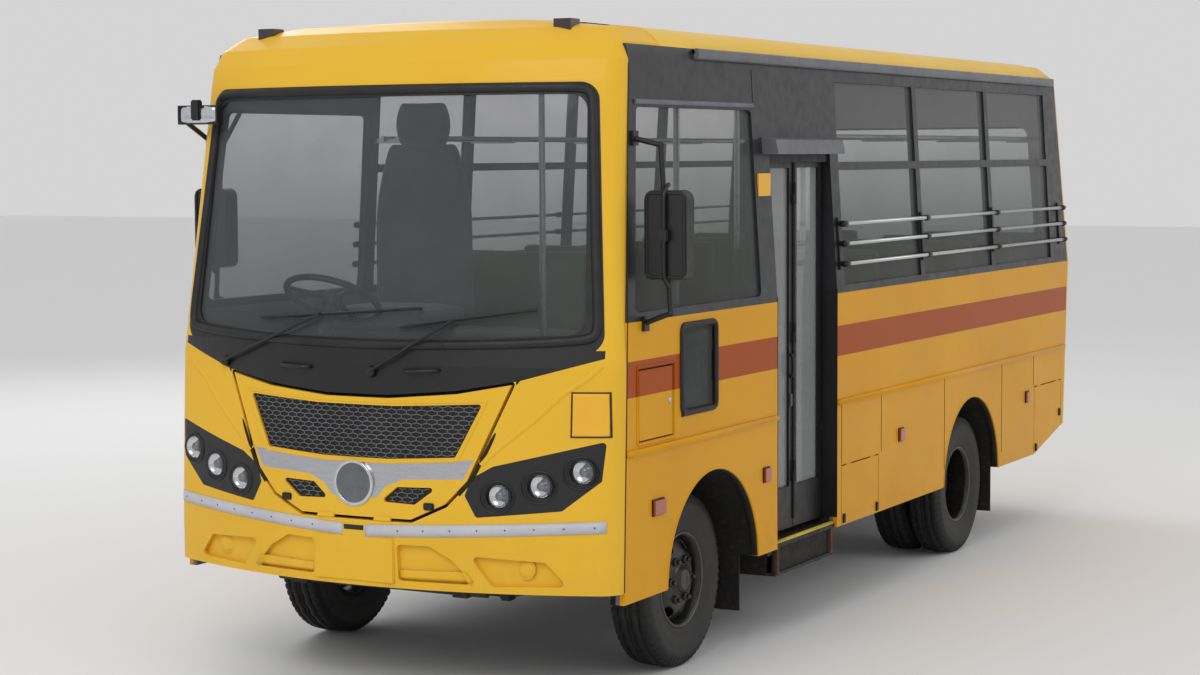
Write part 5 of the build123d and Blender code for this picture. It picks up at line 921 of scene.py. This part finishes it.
DISC_THICK = 0.006
for side, end in SIDES:
    for kind, (wheel, axle_y, barrel, disc, hub, nut_x, nut_r) in RIM_SETS.items():
        body = f"{wheel}_{end}"
        middle = (0, axle_y, AXLE_Z)
        outward = (side, 0, 0)
        piece = turned_piece(f"{kind}_barrel_{end}", [middle], outward, barrel, 96, "rim_black", body)
        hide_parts(f"{kind}_{end}")
        name = f"{kind}_disc_{end}"
        piece = add_piece(name, holed_disc(name, side, axle_y, disc), "rim_black", body)
        thicken(piece, DISC_THICK, -1.0)
        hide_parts(f"{kind}_{end}")
        turned_piece(f"{kind}_hub_{end}", [middle], outward, hub, 64, "hub_grey", body)
        flange = [(barrel[6][0] + along, radius) for along, radius in ring_profile(0.2075, 0.0045)]
        turned_piece(f"{kind}_flange_{end}", [middle], outward, flange, 96, "worn_steel", body)
        nuts = []
        for k in range(NUTS):
            angle = math.tau * (k + 0.5) / NUTS
            foot, top, tip = (wheel_place(side, x, axle_y, nut_r, angle) for x in nut_x)
            nuts += [(foot, top, 0.02, 0.0185), (top, tip, 0.012, 0.01)]
        rods(f"{kind}_nuts_{end}", nuts, "hub_grey", body, sides=6)

# Side walls: seam lines, panel joints, latches, lamp bases, arch lips
SEAM = [
    (-2.951, 0.482), (-2.94, 0.8), (-2.925, 1.2), (-2.913, 1.575), (-2.88, 1.85), (-2.84, 2.15),
    (-2.767, 2.63),
]
JOINT_FOOT = 0.515
JOINT_TOP = 1.034
LOCKER_TOP = 0.738
REAR_FLAP_TOP = 0.852
LEFT_JOINTS = [
    (-0.631, LOCKER_TOP), (-0.098, LOCKER_TOP), (0.849, JOINT_FOOT), (1.828, JOINT_FOOT),
    (2.426, REAR_FLAP_TOP),
]
PANEL_JOINTS = {
    "left": LEFT_JOINTS,
    "right": [(y, JOINT_FOOT) for y in (-1.411, *(y for y, _ in LEFT_JOINTS))],
}
MARKERS = ((-2.646, 0.056), (-1.543, 0.036), (0.179, 0.036), (2.298, 0.036))
MARKER_Z = (0.759, 0.831)
ARCH_Z = 0.42
ARCH_R = 0.464
ARCH_LIP_R = 0.47
ARCH_START = 0.03
arch_turns = np.linspace(ARCH_START, math.pi - ARCH_START, 25)


def arch_line(x, axle_y, radius):
    """Places along a wheel arch."""
    return [(x, axle_y - radius * math.cos(a), ARCH_Z + radius * math.sin(a)) for a in arch_turns]


for side, end in SIDES:
    wall_seam(f"mask_seam_{end}", side, SEAM, 0.007, lift=0.001)
    for k, (y, foot) in enumerate(PANEL_JOINTS[end]):
        wall_seam(f"panel_joint_{end}_{k + 1}", side, [(y, foot), (y, JOINT_TOP)], 0.003)
    xs = sorted((side * HALF_WIDTH, side * (HALF_WIDTH + 0.006)))
    bases = [((xs[0], y - half, MARKER_Z[0]), (xs[1], y + half, MARKER_Z[1])) for y, half in MARKERS]
    boxes(f"marker_bases_{end}", bases, 0.002, "black_trim")
    for axle, axle_y in (("front", FRONT_AXLE_Y), ("rear", REAR_AXLE_Y)):
        lip = arch_line(side * (HALF_WIDTH - 0.002), axle_y, ARCH_LIP_R)
        tube(f"arch_lip_{axle}_{end}", lip, 0.006, "side_paint")
        band = arch_line(side * (HALF_WIDTH - 0.042), axle_y, ARCH_R)
        band += arch_line(side * (HALF_WIDTH - 0.006), axle_y, ARCH_R)
        sheet(f"arch_trim_{axle}_{end}", band, len(arch_turns), 0.002, "liner_black")
LATCHES = {"locker_flap": ((-0.604, 0.463), (-0.162, 0.463)), "rear_flap": ((2.478, 0.47), (2.95, 0.64))}
for flap, places in LATCHES.items():
    plates = []
    for y, z in places:
        low = (HALF_WIDTH - 0.002, y - 0.013, z - 0.023)
        plates.append((low, (HALF_WIDTH + 0.01, y + 0.013, z + 0.023)))
    boxes(f"{flap}_latches", plates, 0.003, "black_trim", flap)
lock_place = (HALF_WIDTH, -2.53, 1.231)
LOCK = [(0.0, 0.014), (0.004, 0.014), (0.006, 0.011), (0.005, 0.008), (0.007, 0.006), (0.007, 0.0)]
turned_piece("service_flap_lock", [lock_place], (1, 0, 0), LOCK, 24, "rail_steel", "service_flap")

# Side walls: rub rails
RUB_RAIL_Z = 1.043
RUB_RAIL_R = 0.014
RUB_RAILS = {"left": ((-2.925, -1.418), (-0.682, 2.985)), "right": ((-2.925, 2.985),)}
for side, end in SIDES:
    x = side * (HALF_WIDTH + 0.001)
    runs = [((x, a, RUB_RAIL_Z), (x, b, RUB_RAIL_Z), RUB_RAIL_R, RUB_RAIL_R) for a, b in RUB_RAILS[end]]
    rods(f"rub_rail_{end}", runs, "side_paint", sides=20)


def rounded_path(low, high, corner, steps=1):
    """A closed way round a rectangle with rounded corners, with places along its straight runs."""
    (a1, b1), (a2, b2) = low, high
    directions = ((-1, 0), (0, 1), (1, 0), (0, -1))
    path = []
    for k, (a, b) in enumerate(((a1, b1), (a1, b2), (a2, b2), (a2, b1))):
        arrive, leave = directions[k], directions[(k + 1) % 4]
        path.append((a - arrive[0] * corner, b - arrive[1] * corner))
        path.append((a, b))
        path.append((a + leave[0] * corner, b + leave[1] * corner))
    way = []
    for k, place in enumerate(path):
        way.append(place)
        if k % 3 == 2:
            after = path[(k + 1) % len(path)]
            way += [between(place, after, t) for t in np.linspace(0, 1, steps + 2)[1:-1]]
    return way + way[:2]


def rounded_frame(name, ys, zs, radius, look, corner):
    """A round moulding along a rounded rectangle on the left wall."""
    way = rounded_path((ys[0], zs[0]), (ys[1], zs[1]), corner)
    tube(name, [(wall_x(z) + 0.001, y, z) for y, z in way], radius, look)


# Front: shut line beside the flap, creases of the mask, ledges in the bumper's inner pockets
SHUT_LINE = [(0.717, 1.351), (0.664, 1.24), (0.627, 1.128), (0.58, 1.03), (0.533, 0.934), (0.48, 0.88)]
CREASE = [
    (1.035, 1.412), (0.985, 1.354), (0.9, 1.306), (0.838, 1.242), (0.765, 1.172), (0.64, 1.072),
    (0.572, 1.005),
]
LEDGE = ((0.212, 0.522), (0.535, 0.522), (0.212, 0.556), (0.505, 0.562))
for side, end in SIDES:
    shut = [on_nose(side * x, z, -0.004) for x, z in SHUT_LINE]
    tube(f"flap_shut_line_{end}", shut, 0.009, "seam_black")
    crease = [on_nose(side * x, z, -0.013) for x, z in CREASE]
    tube(f"mask_crease_{end}", crease, 0.019, "yellow_paint")
    ledge = grid_between(*((side * x, z) for x, z in LEDGE), 14, 4)
    nose_sheet(f"pocket_ledge_{end}", ledge, 0.008, 0.016, "yellow_paint")

# Front: the rounded moulding round the windscreen, the frame pressed round the mesh
SCREEN_WAY = [
    (0.0, 1.48), (0.2, 1.481), (0.4, 1.485), (0.6, 1.491), (0.8, 1.5), (0.94, 1.51), (1.004, 1.522),
    (1.012, 1.58), (0.996, 1.75), (0.98, 1.95), (0.963, 2.15), (0.948, 2.35), (0.94, 2.46), (0.925, 2.52),
    (0.86, 2.53), (0.7, 2.53), (0.5, 2.53), (0.25, 2.53), (0.0, 2.53),
]
screen_way = SCREEN_WAY + [(-x, z) for x, z in SCREEN_WAY[-2::-1]] + SCREEN_WAY[1:3]
moulding = [on_nose(x, z, -0.004) for x, z in screen_way]
tube("windscreen_moulding", moulding, 0.021, "window_rubber")
FRAME_R = 0.007
FRAME_CORNERS = [
    (-0.19, 1.246), (0.19, 1.246), (0.592, 1.262), (0.474, 1.018), (0.16, 0.999), (-0.16, 0.999),
    (-0.474, 1.018), (-0.592, 1.262), (-0.19, 1.246),
]
mesh_frame = [
    on_nose(*between(start, stop, t), -0.003, FRAME_R + EDGE_ROOM)
    for start, stop in zip(FRAME_CORNERS, FRAME_CORNERS[1:])
    for t in np.linspace(0, 1, 8)
]
tube("grille_mesh_frame", mesh_frame, FRAME_R, "yellow_paint", "grille_flap")

# Under the front: the anti-roll bar and its hangers
BAR_Y = -2.72
BAR_Z = 0.388
bar_way = [(-0.52, -2.3, 0.42), (-0.49, -2.56, 0.4), (-0.46, BAR_Y, BAR_Z), (-0.3, BAR_Y, BAR_Z)]
bar_way += [(-x, y, z) for x, y, z in bar_way[::-1]]
tube("anti_roll_bar", bar_way, 0.019, "chassis_black")
hangers = []
for side, _ in SIDES:
    xs = sorted((side * 0.395, side * 0.445))
    hangers.append(((xs[0], BAR_Y - 0.03, BAR_Z - 0.03), (xs[1], BAR_Y + 0.03, BAR_Z + 0.16)))
boxes("anti_roll_hangers", hangers, 0.006, "chassis_black")

# Left side: small window's rubber, service flap's frame, the blank plate by the door
rounded_frame("small_window_rubber", (-2.42, -2.08), (1.16, 1.535), 0.013, "window_rubber", 0.07)
rounded_frame("service_flap_frame", (-2.83, -2.488), (1.072, 1.39), 0.005, "side_paint", 0.02)
wall_seam("header_seam_left", 1, [(-1.56, 2.49), (-1.56, 2.635)], 0.003)
PLATE_Z = (2.065, 2.168)
plate_x = wall_x(PLATE_Z[0])
side_plate = ((plate_x - 0.006, -1.56, PLATE_Z[0]), (plate_x + 0.004, -1.428, PLATE_Z[1]))
boxes("blank_side_plate", [side_plate], 0.0015, "sign_yellow")

# Both sides: window-top trim, gutters, guard rails with their clamps and straps
TRIM_Y = (-2.735, -1.57)
TRIM = [(-0.004, 2.462), (0.006, 2.464), (0.009, 2.472), (0.006, 2.482), (-0.004, 2.486)]
GUTTER_Y = (-2.147, 2.929)
GUTTER = [
    (-0.004, 2.664), (0.012, 2.662), (0.02, 2.668), (0.022, 2.682), (0.02, 2.706), (0.012, 2.71),
    (0.004, 2.709), (-0.01, 2.7),
]
RAIL_BRACKETS = {"left": (-0.64, 0.515, 1.675, 2.94), "right": (-1.54, -0.62, 0.515, 1.675, 2.94)}
RAIL_Z = (1.72, 1.818, 1.915)
RAIL_OUT = 0.036
RAIL_R = 0.0095
STRAP_Z = (1.69, 1.945)
STRAP_HALF = 0.013
STRAP_OUT = 0.009
STRAP_SUNK = 0.003
CLAMP_HALF = 0.022
CLAMP_R = 0.0155
for side, end in SIDES:
    trim = [(side * (wall_x(2.47) + x), z) for x, z in TRIM]
    swept(f"window_top_trim_{end}", trim, TRIM_Y, "trim_grey")
    gutter = [(side * (wall_x(CANT_Z) + x), z) for x, z in GUTTER]
    swept(f"roof_gutter_{end}", gutter, GUTTER_Y, "trim_grey")
    rails = [(side * (wall_x(z) + RAIL_OUT), z) for z in RAIL_Z]
    bracket_ys = RAIL_BRACKETS[end]
    clamps = []
    for y in bracket_ys:
        for x, z in rails:
            clamps.append(((x, y - CLAMP_HALF, z), (x, y + CLAMP_HALF, z), CLAMP_R, CLAMP_R))
            clamps.append(((x - side * 0.005, y, z), (side * (wall_x(z) - 0.002), y, z), 0.01, 0.015))
    rods(f"rail_clamps_{end}", clamps, "black_trim")
    bars = [((x, bracket_ys[0], z), (x, bracket_ys[-1], z), RAIL_R, RAIL_R) for x, z in rails]
    tubes = rods(f"guard_rail_bars_{end}", bars, "rail_steel")
    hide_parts("guard_rails")
    strap = [(side * (wall_x(STRAP_Z[0]) + out), STRAP_Z[0]) for out in (-STRAP_SUNK, STRAP_OUT)]
    strap += [(side * (wall_x(STRAP_Z[1]) + out), STRAP_Z[1]) for out in (STRAP_OUT, -STRAP_SUNK)]
    for k, y in enumerate(bracket_ys):
        ends = (y - STRAP_HALF, y + STRAP_HALF)
        piece = swept(f"guard_rail_strap_{end}_{k + 1}", strap, ends, "black_trim")
        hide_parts("guard_rails")

# Entrance: the canopy's pale cover
CANOPY = [(1.03, 2.2545), (1.132, 2.2545), (1.136, 2.262), (1.1235, 2.3195), (1.118, 2.3225), (1.03, 2.335)]
swept("canopy_cover", CANOPY, (-1.486, -0.683), "trim_grey")

# Entrance: black jamb edges, meeting rubbers, handle and lock, nosing, step brackets
DOOR_Y = (-1.411, -0.689)
jambs = []
for y, inward in zip(DOOR_Y, (1, -1)):
    span = sorted((y, y + inward * 0.0025))
    jambs.append(((1.02, span[0], 0.48), (HALF_WIDTH + 0.002, span[1], 1.6)))
boxes("door_jamb_trim", jambs, 0.0008, "black_trim")
DOOR_FACE_X = 1.018
LEAF_Z = (0.52, 2.215)
LEAF_EDGES = {"front": (-1.06, -1.053), "rear": (-1.047, -1.04)}
for leaf, ys in LEAF_EDGES.items():
    rubber_box = ((DOOR_FACE_X, ys[0], LEAF_Z[0]), (DOOR_FACE_X + 0.009, ys[1], LEAF_Z[1]))
    boxes(f"door_{leaf}_rubber", [rubber_box], 0.002, "window_rubber", f"door_{leaf}_leaf")
HANDLE_Y = -1.08
HANDLE_WAY = [(DOOR_FACE_X, 1.2), (1.036, 1.2), (1.036, 1.31), (DOOR_FACE_X, 1.31)]
handle = [(x, HANDLE_Y, z) for x, z in HANDLE_WAY]
tube("door_handle", handle, 0.007, "black_trim", "door_front_leaf")
lock_box = ((1.016, HANDLE_Y - 0.016, 1.06), (1.027, HANDLE_Y + 0.016, 1.12))
boxes("door_lock", [lock_box], 0.003, "hub_grey", "door_front_leaf")
seal = ((1.0415, DOOR_Y[0] + 0.004, 2.216), (1.0465, DOOR_Y[1] - 0.004, 2.262))
boxes("door_head_seal", [seal], 0.001, "window_rubber")
NOSING_R = 0.014
nosing_ends = [(1.074, y, 0.447) for y in (DOOR_Y[0] + 0.006, DOOR_Y[1] - 0.006)]
rods("step_nosing", [(*nosing_ends, NOSING_R, NOSING_R)], "nosing_yellow", sides=20)
brackets = [((1.07, y, 0.305), (1.089, y + 0.03, 0.44)) for y in (-1.392, -0.742)]
boxes("step_brackets", brackets, 0.002, "rusty_steel")
step_front = ((1.064, -1.4, 0.308), (1.072, -0.7, 0.432))
boxes("step_front_plate", [step_front], 0.002, "liner_black")

# Tail: window rubber, blank plate with its lamp, reflectors, bumper strip
glass_low, glass_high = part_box("rear_glass")
rubber_way = rounded_path((glass_low.x, glass_low.z), (glass_high.x, glass_high.z), 0.12, 6)
tube("rear_window_rubber", [on_tail(x, z, -0.004) for x, z in rubber_way], 0.012, "window_rubber")


def tail_plate(name, xs, zs, thick, look):
    """A rounded plate on the bus's back."""
    middle = on_tail((xs[0] + xs[1]) / 2, (zs[0] + zs[1]) / 2)
    face_y = min(middle.y + thick, cad_high.y - 0.0005)
    boxes(name, [((xs[0], middle.y - 0.004, zs[0]), (xs[1], face_y, zs[1]))], 0.003, look)


tail_plate("rear_blank_plate", (-0.26, 0.26), (0.7, 0.83), 0.006, "sign_yellow")
tail_plate("rear_plate_lamp", (-0.07, 0.07), (0.845, 0.88), 0.022, "black_trim")
for side, end in SIDES:
    xs = sorted((side * 0.62, side * 0.72))
    tail_plate(f"rear_reflector_{end}", xs, (0.72, 0.765), 0.008, "amber_lens")
TAIL_STRIP_COLUMNS = 40
strip = grid_between((-0.95, 0.6), (0.95, 0.6), (-0.95, 0.65), (0.95, 0.65), TAIL_STRIP_COLUMNS, 3)
strip_points = [on_tail(x, z, 0.0015) for row in strip for x, z in row]
sheet("rear_strip", strip_points, TAIL_STRIP_COLUMNS, 0.002, "strip_white")

# Mirrors: glass in the heads, a rim round the front, the arm with its clamp
MIRROR_X = (1.136, 1.296)
MIRROR_GLASS_Z = (1.766, 2.094)
MIRROR_RIM_Z = (1.76, 2.099)
MIRROR_CLAMP_Z = (1.905, 1.955)
MIRROR_HEAD_DEPTH = 0.07
MIRROR_ARM_X = 1.216
MIRROR_ARM = [
    (0.03, 2.135), (-0.012, 2.112), (-0.016, 2.05), (-0.016, 1.8), (-0.012, 1.745), (0.03, 1.72),
]
for (side, end), y in zip(SIDES, (-2.73, -2.525)):
    xs = sorted(side * x for x in MIRROR_X)
    glass = ((xs[0], y - 0.004, MIRROR_GLASS_Z[0]), (xs[1], y + 0.001, MIRROR_GLASS_Z[1]))
    boxes(f"mirror_glass_{end}", [glass], 0.002, "mirror_silver")
    front_y = y - MIRROR_HEAD_DEPTH
    rim_way = rounded_path((xs[0] - 0.004, MIRROR_RIM_Z[0]), (xs[1] + 0.004, MIRROR_RIM_Z[1]), 0.03)
    tube(f"mirror_head_rim_{end}", [(x, front_y, z) for x, z in rim_way], 0.006, "black_trim")
    arm_x = side * MIRROR_ARM_X
    tube(f"mirror_front_arm_{end}", [(arm_x, front_y + out, z) for out, z in MIRROR_ARM], 0.009, "black_trim")
    clamp_low = (arm_x - 0.022, front_y - 0.03, MIRROR_CLAMP_Z[0])
    clamp = (clamp_low, (arm_x + 0.022, front_y - 0.002, MIRROR_CLAMP_Z[1]))
    boxes(f"mirror_clamp_{end}", [clamp], 0.005, "black_trim")

# Look-down mirror: a bowed plate with a dark rim and its bracket
DISH_X = (-1.078, -0.872)
DISH_Z = (2.405, 2.477)
DISH_Y = -2.997
DISH_COLUMNS = 9
DISH_BOW = 0.01
dish_points = []
for v in np.linspace(-1, 1, 5):
    for u in np.linspace(-1, 1, DISH_COLUMNS):
        x, z = (sum(span) / 2 + s * (span[1] - span[0]) / 2 for s, span in ((u, DISH_X), (v, DISH_Z)))
        dish_points.append((x, DISH_Y - DISH_BOW * (1 - u * u) * (1 - 0.5 * v * v), z))
sheet("look_down_glass", dish_points, DISH_COLUMNS, 0.003, "mirror_silver")
dish_way = rounded_path((DISH_X[0], DISH_Z[0]), (DISH_X[1], DISH_Z[1]), 0.012)
tube("look_down_rim", [(x, DISH_Y, z) for x, z in dish_way], 0.005, "black_trim")
dish_hold = ((-1.0, -3.018, 2.415), (-0.95, -2.99, 2.505))
boxes("look_down_bracket", [dish_hold], 0.006, "black_trim")

# Steering wheel: round rim, three spokes and a domed hub
WHEEL_CENTRE = Vector((-0.545, -2.6, 1.62))
WHEEL_AXIS = Vector((0, 0.5, 0.8660254))
WHEEL_HUB = [(-0.038, 0.044), (-0.01, 0.047), (0.018, 0.046), (0.03, 0.04), (0.037, 0.026), (0.039, 0.0)]
build = bmesh.new()
turned(build, WHEEL_CENTRE, WHEEL_AXIS, ring_profile(0.214, 0.0155, 14), 72)
turned(build, WHEEL_CENTRE, WHEEL_AXIS, WHEEL_HUB, 32)
bmesh.ops.recalc_face_normals(build, faces=build.faces[:])
rim = add_piece("steering_rim", mesh_from_bmesh("steering_rim", build), "black_trim", "steering_wheel")
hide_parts("steering_wheel")
spoke_sideways = Vector((1, 0, 0))
spoke_up = WHEEL_AXIS.cross(spoke_sideways)
spokes = []
for degrees in (90, 210, 330):
    turn = math.radians(degrees)
    way = spoke_sideways * math.cos(turn) + spoke_up * math.sin(turn)
    spokes.append((WHEEL_CENTRE + way * 0.03, WHEEL_CENTRE + way * 0.208, 0.013, 0.01))
rods("steering_spokes", spokes, "black_trim", "steering_wheel")

# Seats: crowned pads whose sides pull in between the corners
PAD_CUTS = 11
PAD_CROWN = 0.3
PAD_PULL = 0.02
CHANNEL_DEPTH = 0.16
CHANNEL_WIDTH = 0.035


def pad(name, low, high, thin, look, channels, node, shape=None):
    """A stuffed pad in a box, thin along one axis, with sewn channels across its first long axis."""
    low, high = Vector(low), Vector(high)
    middle, half = (low + high) / 2, (high - low) / 2
    wide, tall = [k for k in range(3) if k != thin]
    build = bmesh.new()
    bmesh.ops.create_cube(build, size=2.0)
    bmesh.ops.subdivide_edges(build, edges=build.edges[:], cuts=PAD_CUTS, use_grid_fill=True)
    for vert in build.verts:
        u, v, w = vert.co[wide], vert.co[tall], vert.co[thin]
        swell = math.sqrt(max(0.0, (1 - u**6) * (1 - v**6)))
        thick = (1 - PAD_CROWN) + PAD_CROWN * swell
        for channel in channels:
            thick -= CHANNEL_DEPTH * math.exp(-(((u - channel) / CHANNEL_WIDTH) ** 2))
        edge = 1 - 0.06 * w**4
        place = [0.0, 0.0, 0.0]
        place[wide] = u * edge * (1 - PAD_PULL * (1 - v * v)) * half[wide]
        place[tall] = v * edge * (1 - PAD_PULL * (1 - u * u)) * half[tall]
        place[thin] = w * thick * half[thin]
        if shape:
            place[wide] *= shape(v)
        vert.co = middle + Vector(place)
    bmesh.ops.recalc_face_normals(build, faces=build.faces[:])
    piece = add_piece(name, mesh_from_bmesh(name, build), look)
    smoothed = piece.modifiers.new("smooth", "SUBSURF")
    smoothed.levels = 1
    smoothed.render_levels = 1
    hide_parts(node)


BENCH_X = (0.225, 1.045)
BENCH_PITCH = 0.72
THIRDS = (-1 / 3, 1 / 3)
BENCH_PADS = {"cushion": ((0.0, 1.265), (0.43, 1.375), 2), "back": ((0.435, 1.268), (0.525, 1.765), 1)}
for (side, end), first_y, count in zip(SIDES, (-0.48, -1.2), (5, 6)):
    xs = sorted(side * x for x in BENCH_X)
    for k in range(count):
        y = first_y + BENCH_PITCH * k
        for part, (low, high, thin) in BENCH_PADS.items():
            corners = ((xs[0], y + low[0], low[1]), (xs[1], y + high[0], high[1]))
            pad(f"bench_{part}_{end}_{k + 1}", *corners, thin, "bench_cloth", THIRDS, "passenger_seats")

# Driver's seat: pedestal, cushion, tapered back and headrest on two posts
DRIVER_X = -0.545
DRIVER_BACK_Y = -1.89


def taper(v):
    """How the back's width falls off towards its top."""
    return 1.0 if v < 0.15 else 1.0 - 0.33 * ((v - 0.15) / 0.85) ** 1.5


def lobe(v):
    """How the headrest rounds off towards its top and foot."""
    return 1.0 - 0.24 * v * v


DRIVER_PADS = {
    "cushion": (((-0.26, -0.46, 1.45), (0.26, 0.005, 1.568)), 2, (-0.62, 0.62), None),
    "back": (((-0.26, 0.0, 1.48), (0.26, 0.115, 2.312)), 1, (-0.62, 0.62), taper),
    "headrest": (((-0.14, 0.01, 2.298), (0.14, 0.11, 2.505)), 1, (), lobe),
}
driver_shift = Vector((DRIVER_X, DRIVER_BACK_Y, 0))
for part, ((low, high), thin, channels, shape) in DRIVER_PADS.items():
    corners = (Vector(low) + driver_shift, Vector(high) + driver_shift)
    pad(f"driver_{part}", *corners, thin, "driver_cloth", channels, "driver_seat", shape)
post_y = DRIVER_BACK_Y + 0.06
posts = [((x, post_y, 2.26), (x, post_y, 2.34), 0.008, 0.008) for x in (DRIVER_X - 0.06, DRIVER_X + 0.06)]
rods("driver_headrest_posts", posts, "rail_steel")
pedestal = [
    ((DRIVER_X - 0.2, DRIVER_BACK_Y - 0.42, 0.945), (DRIVER_X + 0.2, DRIVER_BACK_Y, 0.975)),
    ((DRIVER_X - 0.14, DRIVER_BACK_Y - 0.36, 0.97), (DRIVER_X + 0.14, DRIVER_BACK_Y - 0.06, 1.42)),
    ((DRIVER_X - 0.2, DRIVER_BACK_Y - 0.42, 1.415), (DRIVER_X + 0.2, DRIVER_BACK_Y, 1.455)),
]
boxes("driver_pedestal", pedestal, 0.006, "seat_steel")

# Camera: the photo's own, from its solved place and turn
CAMERA_PLACE = Vector((5.45725, -11.33371, 2.25329))
CAMERA_YAW = math.radians(28.0302)
CAMERA_PITCH = math.radians(4.4194)
CAMERA_ROLL = math.radians(-0.3057)
CAMERA_FOCAL = 2356.5
PHOTO_WIDTH = 1200
SENSOR_WIDTH = 36.0
level = math.cos(CAMERA_PITCH)
ahead = Vector((-math.sin(CAMERA_YAW) * level, math.cos(CAMERA_YAW) * level, -math.sin(CAMERA_PITCH)))
rightward = Vector((math.cos(CAMERA_YAW), math.sin(CAMERA_YAW), 0))
upward = rightward.cross(ahead)
rolled_right = math.cos(CAMERA_ROLL) * rightward + math.sin(CAMERA_ROLL) * upward
rolled_up = -math.sin(CAMERA_ROLL) * rightward + math.cos(CAMERA_ROLL) * upward
camera_data = bpy.data.cameras.new("camera")
camera_data.sensor_width = SENSOR_WIDTH
camera_data.lens = CAMERA_FOCAL * SENSOR_WIDTH / PHOTO_WIDTH
camera_data.clip_end = 200
camera = bpy.data.objects.new("camera", camera_data)
axes = Matrix((rolled_right, rolled_up, -ahead)).transposed().to_4x4()
camera.matrix_world = Matrix.Translation(CAMERA_PLACE) @ axes
bpy.context.scene.collection.objects.link(camera)
bpy.context.scene.camera = camera

# Studio: a pale floor, a pale sky and three large soft lights
bpy.context.scene.view_settings.view_transform = "Standard"
world = bpy.data.worlds.new("studio")
bpy.context.scene.world = world
world.use_nodes = True
background = world.node_tree.nodes["Background"]
background.inputs["Color"].default_value = (1.0, 1.0, 1.0, 1.0)
background.inputs["Strength"].default_value = 0.66
floor_build = bmesh.new()
bmesh.ops.create_grid(floor_build, x_segments=1, y_segments=1, size=60.0)
floor_mesh = mesh_from_bmesh("studio_floor", floor_build)
studio_floor = bpy.data.objects.new("studio_floor", floor_mesh)
bpy.context.scene.collection.objects.link(studio_floor)
pale = Look("pale_floor")
pale.fill(pale.shader, {"Base Color": (0.86, 0.86, 0.86, 1.0), "Roughness": 0.7})
floor_mesh.materials.append(pale.material)
studio_floor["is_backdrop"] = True
LIGHT_AIM = Vector((0, 0, 1.3))
LIGHTS = [
    ("key", (1.5, -11.0, 8.0), 6.0, 330.0),
    ("side", (11.0, 2.0, 7.0), 6.0, 160.0),
    ("far", (-9.0, 6.0, 8.0), 7.0, 260.0),
]
for name, place, size, power in LIGHTS:
    light = bpy.data.lights.new(name, "AREA")
    light.shape = "DISK"
    light.size = size
    light.energy = power
    lamp = bpy.data.objects.new(name, light)
    lamp.location = place
    lamp.rotation_mode = "QUATERNION"
    lamp.rotation_quaternion = (LIGHT_AIM - Vector(place)).to_track_quat("-Z", "Y")
    bpy.context.scene.collection.objects.link(lamp)

bpy.context.view_layer.update()
low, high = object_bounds()
